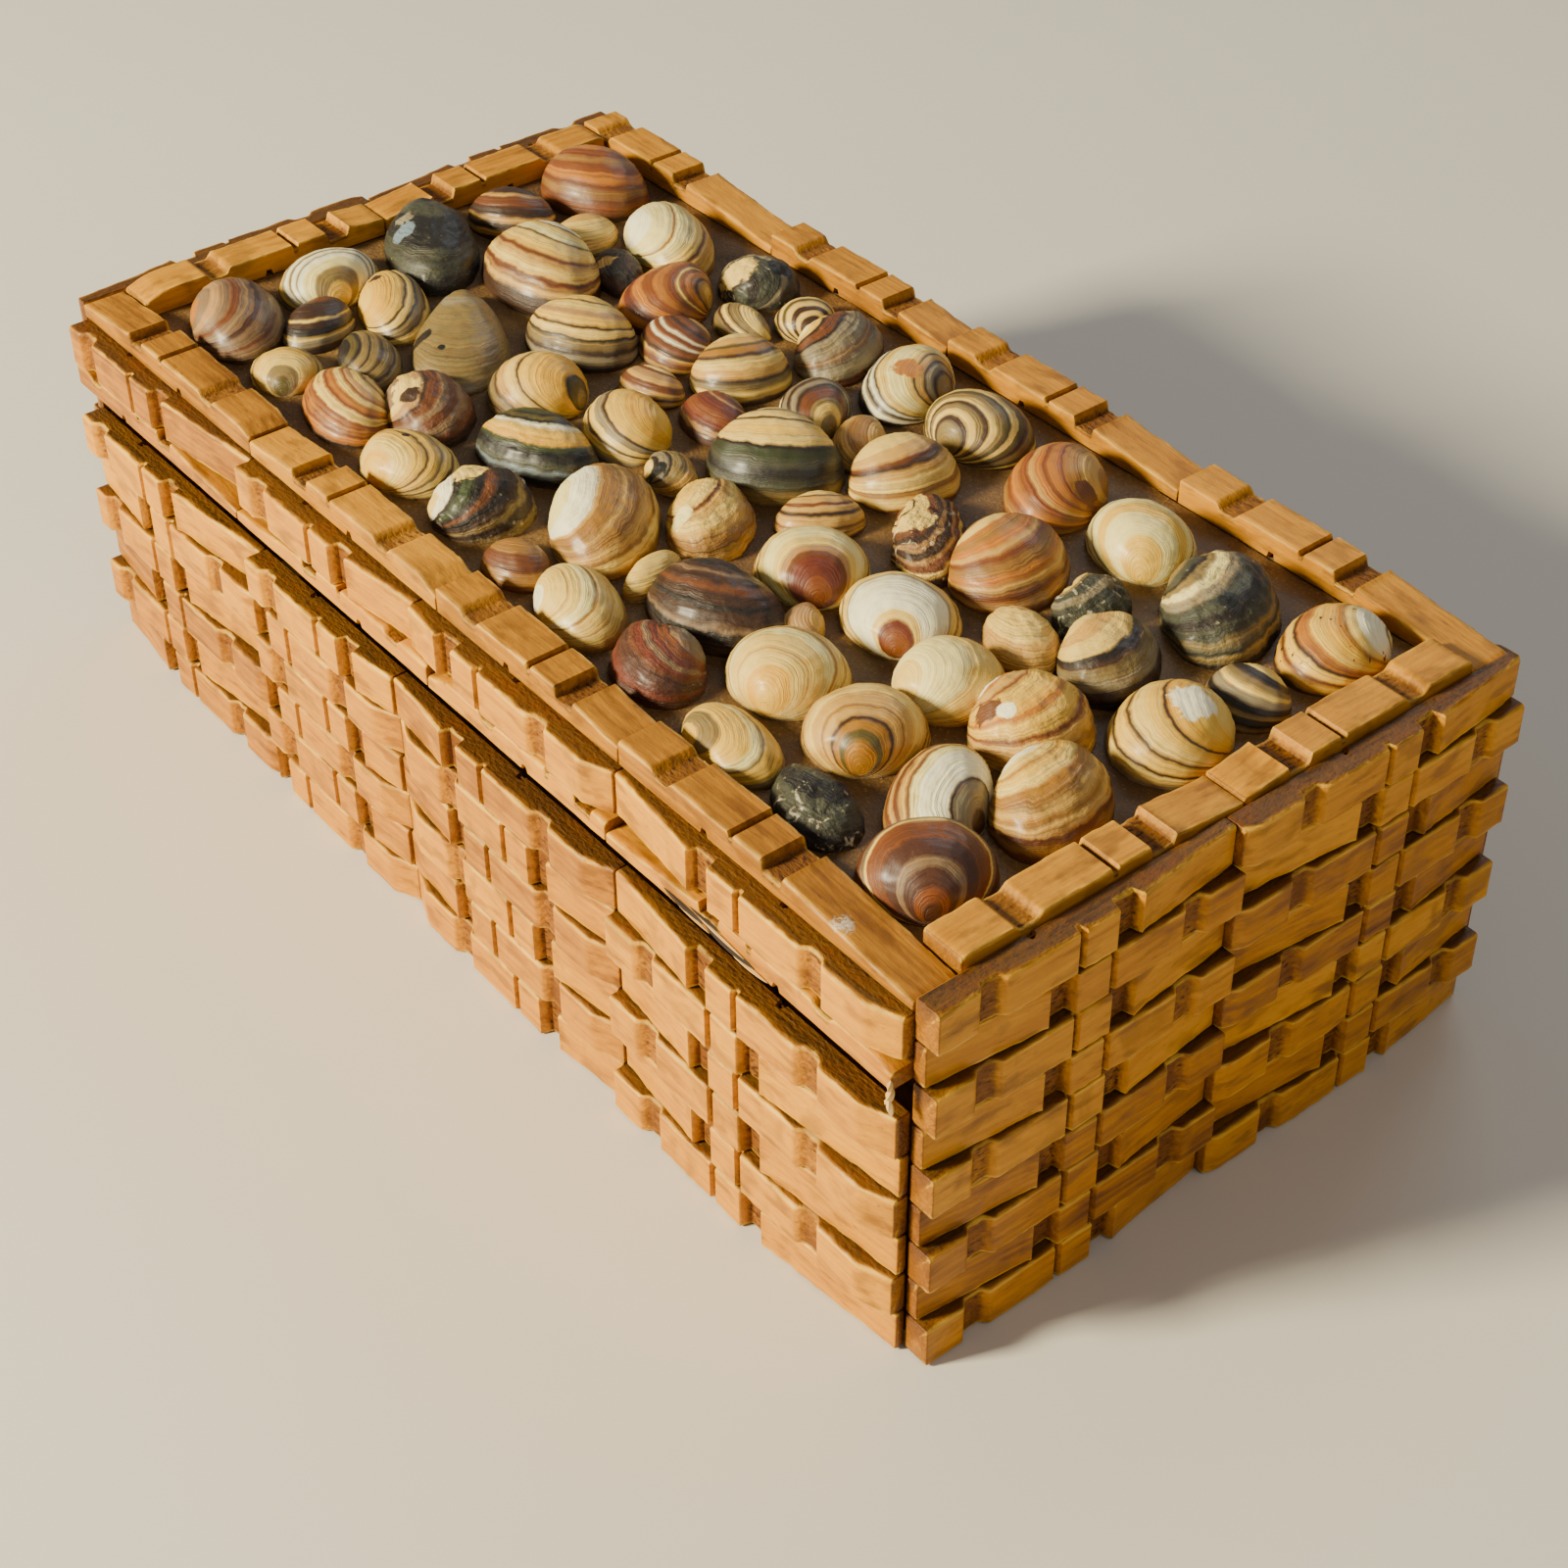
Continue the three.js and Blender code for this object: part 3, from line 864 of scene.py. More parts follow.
@dataclass(frozen=True)
class Peg:
    """One trimmed peg of a course. Distances are in millimetres along the course."""

    start: float
    end: float
    tip_first: bool
    cut: float
    scale: float = 1.0
    gap: float = 0.12

    def carve(self, draft: Draft, berth: Berth, width: float, chance: np.random.Generator) -> None:
        """Adds the peg to a draft.

        Args:
            draft: the mesh that it becomes part of.
            berth: where its course lies.
            width: the height of the course, in millimetres.
            chance: the source of random numbers.
        """
        length = self.end - self.start - 2 * self.gap
        along = SHAPE.stations(self.cut, length)
        jaw, arm, spring = SHAPE.notches(along)
        depth = jaw * SHAPE.jaw_depth + arm * SHAPE.arm_depth + spring * SHAPE.spring_depth
        depth = depth * (1 + WEAR.notch * drift(chance, along, 1.4))
        thick = (SHAPE.body(along) - depth) * self.scale + WEAR.face * drift(chance, along, 6)
        under = SHAPE.hollow(along, SHAPE.flat_groove, SHAPE.flat_groove_width, 0.5)
        under = under * SHAPE.flat_groove_depth * self.scale
        from_end = np.minimum(along - along[0], along[-1] - along)
        inset = WEAR.end_inset * np.clip(1 - from_end / WEAR.end_reach, 0, 1) ** 2
        half = width / 2 - WEAR.side_gap - WEAR.side_slack * chance.random() - inset
        half = half + WEAR.side * drift(chance, along, 5)
        round_over = WEAR.rounding + WEAR.rounding_change * drift(chance, along, 3)
        top = np.minimum(thick, SHAPE.thickness * self.scale) - inset
        bottom = under + inset * 0.5
        fray = WEAR.fray * drift(chance, along, 1.1)
        side_way = width / 2 + WEAR.sideways * chance.uniform(-1, 1)
        low, high = side_way - half, side_way + half
        crown = top - WEAR.crown * np.abs(drift(chance, along, 9))
        bevel, crown_inset, crown_half = WEAR.bevel, WEAR.crown_inset, WEAR.crown_half
        loop = [
            (low + bevel, bottom, 0.2), (high - bevel, bottom, 0.2), (high, bottom + bevel, 0.1),
            (high, top - 2.4 * round_over, 0.0), (high, top - round_over + fray, 0.8),
            (high - 0.3 * round_over, top - 0.3 * round_over + fray, 1.0),
            (high - round_over, top, 0.9), (high - crown_inset, crown, 0.15),
            (side_way + crown_half + 0 * low, crown, 0.0),
            (side_way - crown_half + 0 * low, crown, 0.0),
            (low + crown_inset, crown, 0.15),
            (low + round_over, top, 0.9), (low + 0.3 * round_over, top - 0.3 * round_over + fray, 1.0),
            (low, top - round_over + fray, 0.8), (low, top - 2.4 * round_over, 0.0),
            (low, bottom + bevel, 0.1),
        ]
        across = np.stack([row[0] for row in loop], axis=1)
        out = np.stack([np.maximum(row[1], bottom) for row in loop], axis=1)
        edge = np.array([row[2] for row in loop])[None] * np.ones((len(along), 1))
        from_tip = np.repeat((along - self.cut)[:, None], len(loop), axis=1)
        if self.tip_first:
            run = self.start + self.gap + from_tip
        else:
            run = self.end - self.gap - from_tip
        groove = np.clip(jaw * 0.85 + arm + spring, 0, 1)[:, None] * np.array(NOTCH_PAINT)[None]
        offset = chance.uniform(-3, 3, 3)
        grain = np.stack([from_tip, across, out], axis=-1) * MM + offset
        tone = np.full_like(across, chance.random())
        sawn = np.repeat((from_end < 0.2).astype(float)[:, None], len(loop), axis=1)
        on_edge = abs(berth.across.z) > 0.5
        flank = np.ones((len(along), 1)) * (np.array(FLANK_PAINT) * on_edge)[None]
        paints = {"grain": grain, "notch": groove, "edge": edge, "flank": flank}
        paints |= {"sawn": sawn, "tone": tone}
        rings = berth.place(run * MM, across * MM, out * MM)
        draft.tube(rings, paints, berth.mirrored == self.tip_first)


@dataclass(frozen=True)
class Course:
    """The pegs of one course as seen from outside, left to right, in millimetres."""

    ends: tuple[float, ...]
    tips: str
    cuts: tuple[float, ...]

    def pegs(self, scale: float = 1.0) -> list[Peg]:
        """Lists the pegs of the course.

        Args:
            scale: how thick its pegs are, as a share of a whole one.

        Returns:
            The pegs, from left to right.
        """
        starts = (0.0, *self.ends[:-1])
        rows = zip(starts, self.ends, self.tips, self.cuts)
        return [Peg(start, end, tip == "L", cut, scale) for start, end, tip, cut in rows]


LONG_ODD = Course((74.7, 130.7, 206.7, 287.4), "LLRR", (13, 12, 0, 0))
LONG_EVEN = Course((75.3, 131.3, 206.2, 287.4), "RRLL", (4, 0, 0, 9))
LID_EDGE = Course((74.7, 139.7, 206.7, 287.4), "LLRR", (13, 12, 0, 0))
LID_FLAT = Course((72, 147, 206.7, 287.4), "LRLR", (12, 8, 0, 3))
END_ODD = Course((71.5, 148), "LL", (9, 4))
END_EVEN = Course((72.2, 148), "RR", (9, 10))
RIM_COURSES = {
    Side.FRONT: Course((74.3, 146, 206, 287.6), "RRLL", (3, 1.5, 9.5, 8)),
    Side.BACK: Course((77.8, 149.5, 211.8, 287.6), "RRRR", (7.5, 9, 9.5, 12.5)),
    Side.LEFT: Course((64.3, 127.6), "LR", (5, 2)),
    Side.RIGHT: Course((66.5, 127.6), "LR", (6, 5.5)),
}


@dataclass
class PegWall:
    """A wall of courses on edge, which stands for one CAD node."""

    node: str
    side: Side
    courses: int
    first: Course
    second: Course
    wood: bpy.types.Material
    seed: int

    def build(self) -> bpy.types.Object:
        """Builds the wall.

        Returns:
            The wall, in place of its CAD node.
        """
        chance = np.random.default_rng(self.seed)
        low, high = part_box(self.node)
        corner = self.side.start(self.node)
        height = (high.z - low.z) / self.courses
        draft = Draft(f"pegs_{self.node}")
        for level in range(self.courses):
            lift = Vector((0, 0, height * level))
            berth = Berth(corner + lift, self.side.along, UP, self.side.out)
            layout = self.first if level % 2 == 0 else self.second
            for peg in layout.pegs():
                peg.carve(draft, berth, height / MM, chance)
        self.joint_shade_sheet(draft, corner, high.z - low.z)
        return settle(draft.piece(self.wood, PEG_SHARP), "honey_wood", self.node)

    def joint_shade_sheet(self, draft: Draft, corner: Vector, height: float) -> None:
        """Adds a thin sheet within the pegs, painted darkest, which fills the joints between them: painted
        shade in the joint gaps, which also stops light through them.

        Args:
            draft: the mesh of the wall.
            corner: where the wall starts.
            height: its height.
        """
        margin, depth = 0.6 * MM, 0.9 * MM
        span = self.first.ends[-1] * MM
        section = [(margin, margin), (height - margin, margin), (height - margin, depth), (margin, depth)]
        run = np.repeat([[margin], [span - margin]], 4, axis=1)
        across, out = (np.tile([pair[i] for pair in section], (2, 1)) for i in (0, 1))
        berth = Berth(corner, self.side.along, UP, self.side.out)
        bare, full = np.zeros((2, 4)), np.ones((2, 4))
        # Every paint is full here, so the sheet takes the darkest colours: painted shade in the joints.
        paints = {"grain": np.stack([run, across, out], axis=-1), "notch": full, "edge": bare}
        paints |= {"flank": full, "sawn": full, "tone": bare}
        draft.tube(berth.place(run, across, out), paints, not berth.mirrored)


@dataclass
class LidSide:
    """A long side of the lid: a course of flat pegs under a course of pegs on edge."""

    side: Side
    wood: bpy.types.Material
    seed: int
    peg_width: float = 10.2
    flat_thickness: float = 5.2
    edge_thickness: float = 6

    def build(self) -> bpy.types.Object:
        """Builds the side.

        Returns:
            The side, in place of its CAD node.
        """
        node = f"lid_side_{self.side.word}"
        chance = np.random.default_rng(self.seed)
        low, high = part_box(node)
        out, corner = self.side.out, self.side.start(node)
        depth = abs((high - low).dot(out))
        draft = Draft(f"pegs_{node}")
        flat = Berth(corner, self.side.along, out, UP)
        for peg in LID_FLAT.pegs(self.flat_thickness / SHAPE.thickness):
            peg.carve(draft, flat, self.peg_width, chance)
        inner = corner + out * (depth - self.edge_thickness * MM) + UP * self.flat_thickness * MM
        for peg in LID_EDGE.pegs():
            peg.carve(draft, Berth(inner, self.side.along, UP, out), self.peg_width, chance)
        return settle(draft.piece(self.wood, PEG_SHARP), "honey_wood", node)


SCUFFED_NODE = "rim_front_4"
SCUFF_FROM_CORNER = Vector((-0.0197, -0.0084, 0))


@dataclass
class Rim:
    """The single pegs that lie flat round the deck, notched side up."""

    wood: bpy.types.Material
    scuffed_wood: bpy.types.Material
    scuffed_node: str = SCUFFED_NODE
    thickness: float = 5.8
    clearance: float = 0.15

    def build(self) -> list[bpy.types.Object]:
        """Builds every peg of the rim, each in place of its CAD node."""
        pieces = []
        for side, layout in RIM_COURSES.items():
            for i, peg in enumerate(layout.pegs(self.thickness / SHAPE.thickness)):
                pieces.append(self.peg(side, f"rim_{side.word}_{i + 1}", peg, 40 + len(pieces)))
        return pieces

    def peg(self, side: Side, node: str, peg: Peg, seed: int) -> bpy.types.Object:
        """Builds one peg of the rim.

        Args:
            side: the side it lies on.
            node: the CAD node that it stands for.
            peg: how it is trimmed.
            seed: its own random numbers.

        Returns:
            The peg.
        """
        low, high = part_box(node)
        width = abs((high - low).dot(side.out)) / MM
        corner = side.start(node) - side.along * (peg.start + self.clearance) * MM
        draft = Draft(f"peg_{node}")
        berth = Berth(corner, side.along, side.out, UP)
        peg.carve(draft, berth, width, np.random.default_rng(seed))
        wood = self.scuffed_wood if node == self.scuffed_node else self.wood
        return settle(draft.piece(wood, PEG_SHARP), "rim_wood", node)


@dataclass(frozen=True)
class Sliver:
    """A torn sliver of wood. Lengths are in millimetres, and the place is its middle."""

    place: tuple[float, float, float]
    way: tuple[float, float, float]
    length: float
    thickness: float
    sides: int = 5
    rings: int = 9

    def carve(self, draft: Draft, corner: Vector) -> None:
        """Adds the sliver to a draft.

        Args:
            draft: the mesh that it becomes part of.
            corner: the corner of the box that its place is measured from.
        """
        way = Vector(self.way).normalized()
        across = way.orthogonal().normalized()
        up = way.cross(across)
        rings = []
        for step in np.linspace(0, 1, self.rings):
            radius = self.thickness / 2 * (0.12 + math.sin(math.pi * step) ** 0.7)
            middle = Vector(self.place) + way * self.length * (step - 0.5)
            turns = [2 * math.pi * i / self.sides + step for i in range(self.sides)]
            ring = [middle + (across * math.cos(t) + up * math.sin(t)) * radius for t in turns]
            rings.append([corner + place * MM for place in ring])
        draft.tube(np.array(rings), {}, False)


@dataclass
class Splinters:
    """The split in the lid's front edge, drawn as dark slivers that are painted shade in the crevice, and
    the torn wood at the near corner.
    """

    pale: bpy.types.Material
    dark: bpy.types.Material
    split: tuple[Sliver, ...] = (
        Sliver((231, 0.25, 1.5), (1, 0, -0.04), 12, 1.1),
        Sliver((244, 0.2, 1.2), (1, 0, -0.03), 14, 1.3),
        Sliver((237, 0.3, 2.6), (1, 0, 0.02), 9, 0.7),
    )
    torn: tuple[Sliver, ...] = (
        Sliver((233, 0.05, 0.9), (1, 0, -0.08), 11, 0.6),
        Sliver((242, 0.0, 2.0), (1, 0, -0.06), 13, 0.5),
        Sliver((250, 0.05, 0.5), (1, 0, 0.05), 10, 0.7),
        Sliver((287.0, 0.6, -1.2), (0.2, 0, 1), 4.2, 1.5),
        Sliver((287.5, 0.2, -3.6), (-0.25, 0, 1), 3.4, 1.2),
        Sliver((286.6, 0.4, -2.8), (0.5, 0, 1), 2.6, 1.0),
        Sliver((287.2, 0.3, 1.2), (0.1, 0, 1), 3.0, 1.1),
    )

    def build(self) -> list[bpy.types.Object]:
        """Builds the dark split, which is painted shade in the crevice, and the pale slivers.

        Returns:
            The two pieces.
        """
        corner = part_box("lid_side_front")[0]
        pieces = []
        rows = (("shaded_split_in_lid_edge", self.split, self.dark), ("splinters", self.torn, self.pale))
        for name, slivers, wood in rows:
            draft = Draft(name)
            for sliver in slivers:
                sliver.carve(draft, corner)
            pieces.append(settle(draft.piece(wood, SLIVER_SHARP), "honey_wood", "lid_side_front"))
        return pieces


# ---------------------------------------------------------------- shells


@dataclass(frozen=True)
class Valve:
    """One shell. Lengths are in millimetres and angles in degrees from X on the deck."""

    number: int
    name: str
    x: float
    y: float
    length: float
    width: float
    angle: float
    beak: float
    bands: str
    rise: float = 0.46
    coarse: float = 0.0
    taper: float = 0.0
    knob: float = 0.05
    specks: Tint | None = None
    patches: tuple[Patch, ...] = ()

    @property
    def label(self) -> str:
        """The shell's number and name as the CAD nodes give them."""
        return f"{self.number:02d}_{self.name}"

    @property
    def height(self) -> float:
        """How high the shell stands."""
        return max(5.2, self.width * self.rise)

    def tints(self) -> list[tuple[float, Tint]]:
        """Reads the bands: each is a tint and where it starts, 0 at the beak and 1 at the margin."""
        rows = [band.split() for band in self.bands.split(",")]
        return [(float(start), Tint[tint.upper()]) for tint, start in rows]

    def turned(self, heading: float) -> np.ndarray:
        """Gives the unit vector of a heading, within the shell's own axes."""
        turn = math.radians(heading - self.angle)
        return np.array([math.cos(turn), math.sin(turn)])

    def reach(self, way: np.ndarray) -> float:
        """Measures from the middle to the margin along a unit vector."""
        return 1 / math.hypot(way[0] * 2 / self.length, way[1] * 2 / self.width)

    def gauge(self, places: np.ndarray) -> np.ndarray:
        """Says how far out a place is: 1 is the margin.

        Args:
            places: places on the deck, in the shell's own axes.

        Returns:
            The share of the way to the margin.
        """
        x = places[..., 0] / (self.length / 2)
        y = places[..., 1] / (self.width / 2) / np.clip(1 + self.taper * x, 0.3, 2)
        return np.hypot(x, y)

    def growth(self, places: np.ndarray, umbo: np.ndarray) -> np.ndarray:
        """Says how old the shell was where each place grew, 0 at the beak and 1 at the margin.

        Args:
            places: places on the deck, in the shell's own axes.
            umbo: the point from which it grew.

        Returns:
            The size, as a share of the whole, of the outline through each place.
        """
        low, high = np.full(places.shape[:-1], 1e-3), np.full(places.shape[:-1], 1.5)
        for _ in range(24):
            middle = (low + high) / 2
            outside = self.gauge(umbo + (places - umbo) / middle[..., None]) > 1
            low, high = np.where(outside, middle, low), np.where(outside, high, middle)
        return (low + high) / 2


@dataclass
class ShellMaker:
    """Builds the mesh and the skin of one shell."""

    valve: Valve
    middle: Vector
    around: int = 72
    rings: int = 40
    apex_shift: float = 0.13
    umbo_reach: float = 0.94
    ring_crowding: float = 1.6
    dome_power: float = 2.4
    knob_spread: float = 0.2
    knob_lean: float = 0.05
    skirt_height: float = 3.2
    groove_depth: float = 0.05
    groove_contrast: float = 0.14
    groove_width: float = 0.014
    ridge_height: float = 0.04
    ridge_pitch: float = 120
    first_seed: int = 1000

    def build(self, node: str) -> bpy.types.Object:
        """Builds the shell.

        Args:
            node: the CAD node that it is part of.

        Returns:
            The shell, in place.
        """
        valve = self.valve
        chance = np.random.default_rng(self.first_seed + valve.number)
        turn = np.linspace(0, 2 * math.pi, self.around, endpoint=False)
        wave = sum(
            chance.uniform(-1, 1) * np.sin(k * turn + chance.uniform(0, 6.3)) / k for k in (2, 3, 5, 7)
        )
        wave = 1 + wave * (0.012 + 0.03 * valve.coarse)
        x = valve.length / 2 * np.cos(turn) * wave
        y = valve.width / 2 * np.sin(turn) * (1 + valve.taper * np.cos(turn)) * wave
        outline = np.stack([x, y], axis=-1)
        beak = valve.turned(valve.beak)
        umbo = beak * valve.reach(beak) * self.umbo_reach
        apex = beak * valve.reach(beak) * self.apex_shift
        ratio = 1 - (1 - np.linspace(0, 1, self.rings + 1)[1:]) ** self.ring_crowding
        flat = apex + ratio[:, None, None] * (outline[None] - apex)
        lift = valve.height * np.clip(1 - ratio ** self.dome_power, 0, 1) ** 0.5
        chart = self.unrolled(ratio, lift)[:, None, None] * outline[None]
        from_umbo = np.linalg.norm(chart - umbo, axis=-1)
        near = np.exp(-(from_umbo / (self.knob_spread * valve.width)) ** 2)
        lift = lift[:, None] * (1 + valve.knob * near)
        flat = flat + beak * (near * lift / valve.height)[..., None] * self.knob_lean * valve.width
        growth = valve.growth(chart, umbo)
        surface = np.concatenate([flat, lift[..., None]], axis=-1)
        surface = surface + self.normals(surface) * self.relief(growth, flat, lift)[..., None]
        surface[-1, :, 2] = 0
        surface[..., 2] = np.clip(surface[..., 2], 0, valve.height * 1.02)
        skirt = np.clip(1 - surface[..., 2] / self.skirt_height, 0, 1)
        spin = math.radians(valve.angle)
        turned = surface.copy()
        turned[..., 0] = surface[..., 0] * math.cos(spin) - surface[..., 1] * math.sin(spin)
        turned[..., 1] = surface[..., 0] * math.sin(spin) + surface[..., 1] * math.cos(spin)
        rows = [[math.cos(spin), math.sin(spin)], [-math.sin(spin), math.cos(spin)]]
        top = np.append(apex @ np.array(rows), turned[0, :, 2].mean())
        plan = turned * MM
        draft = Draft(f"valve_{valve.label}")
        seat = np.array(self.middle)
        draft.dome(top * MM + seat, plan + seat, {"growth": growth, "plan": plan, "skirt": skirt})
        piece = draft.piece(self.skin(), SOFT_SHARP)
        return settle(piece, "sea_shell", node)

    def unrolled(self, ratio: np.ndarray, lift: np.ndarray) -> np.ndarray:
        """Measures each ring's way down from the top over the dome, as a share of the whole.

        Args:
            ratio: the rings' sizes in plan, up to 1.
            lift: their heights.

        Returns:
            A share for each ring, 1 at the margin.
        """
        radius = (self.valve.length + self.valve.width) / 4
        steps = np.hypot(np.diff(ratio, prepend=0) * radius, np.diff(lift, prepend=lift[0]))
        way = np.cumsum(steps)
        return way / way[-1]

    @staticmethod
    def normals(surface: np.ndarray) -> np.ndarray:
        """Works out the unit normals of a grid of rings.

        Args:
            surface: the corners, [ring, corner, axis].

        Returns:
            A normal for each corner.
        """
        outward = np.gradient(surface, axis=0)
        onward = np.roll(surface, -1, axis=1) - np.roll(surface, 1, axis=1)
        normal = np.cross(outward, onward)
        return normal / np.maximum(np.linalg.norm(normal, axis=-1, keepdims=True), 1e-9)

    def relief(self, growth: np.ndarray, flat: np.ndarray, lift: np.ndarray) -> np.ndarray:
        """Gives the height of growth ridges, grooves and lumps, in millimetres.

        Args:
            growth: the age at each corner.
            flat: its place on the deck.
            lift: its height.

        Returns:
            How far each corner is pushed out.
        """
        valve = self.valve
        height = np.zeros_like(growth)
        marks = valve.tints()
        for (start, tint), (_, before) in zip(marks[1:], marks):
            contrast = abs(sum(tint.colour) - sum(before.colour)) / 3
            depth = self.groove_depth + self.groove_contrast * min(contrast, 0.6)
            height -= depth * np.exp(-((growth - start) / self.groove_width) ** 2)
        height += self.ridge_height * np.sin(growth * self.ridge_pitch + valve.number)
        lumps = np.empty_like(growth)
        shift = Vector((valve.number * 3.1, valve.number * 1.7, 0))
        for index in np.ndindex(growth.shape):
            place = Vector((*flat[index], lift[index]))
            lumps[index] = noise.noise(place * 0.14 + shift) + 0.5 * noise.noise(place * 0.5 + shift)
        return height + lumps * (0.3 + 1.1 * valve.coarse)

    def skin(self) -> bpy.types.Material:
        """Makes the shell's own material."""
        valve = self.valve
        spots = []
        for patch in valve.patches:
            reach = valve.reach(valve.turned(patch.heading)) * patch.reach * MM
            turn = math.radians(patch.heading)
            spots.append((patch, reach * math.cos(turn), reach * math.sin(turn)))
        return ShellSkin(
            name=f"skin_{valve.label}",
            bands=valve.tints(),
            seed=valve.number * 1.37,
            specks=valve.specks,
            coarse=valve.coarse,
            patches=spots,
        ).material()


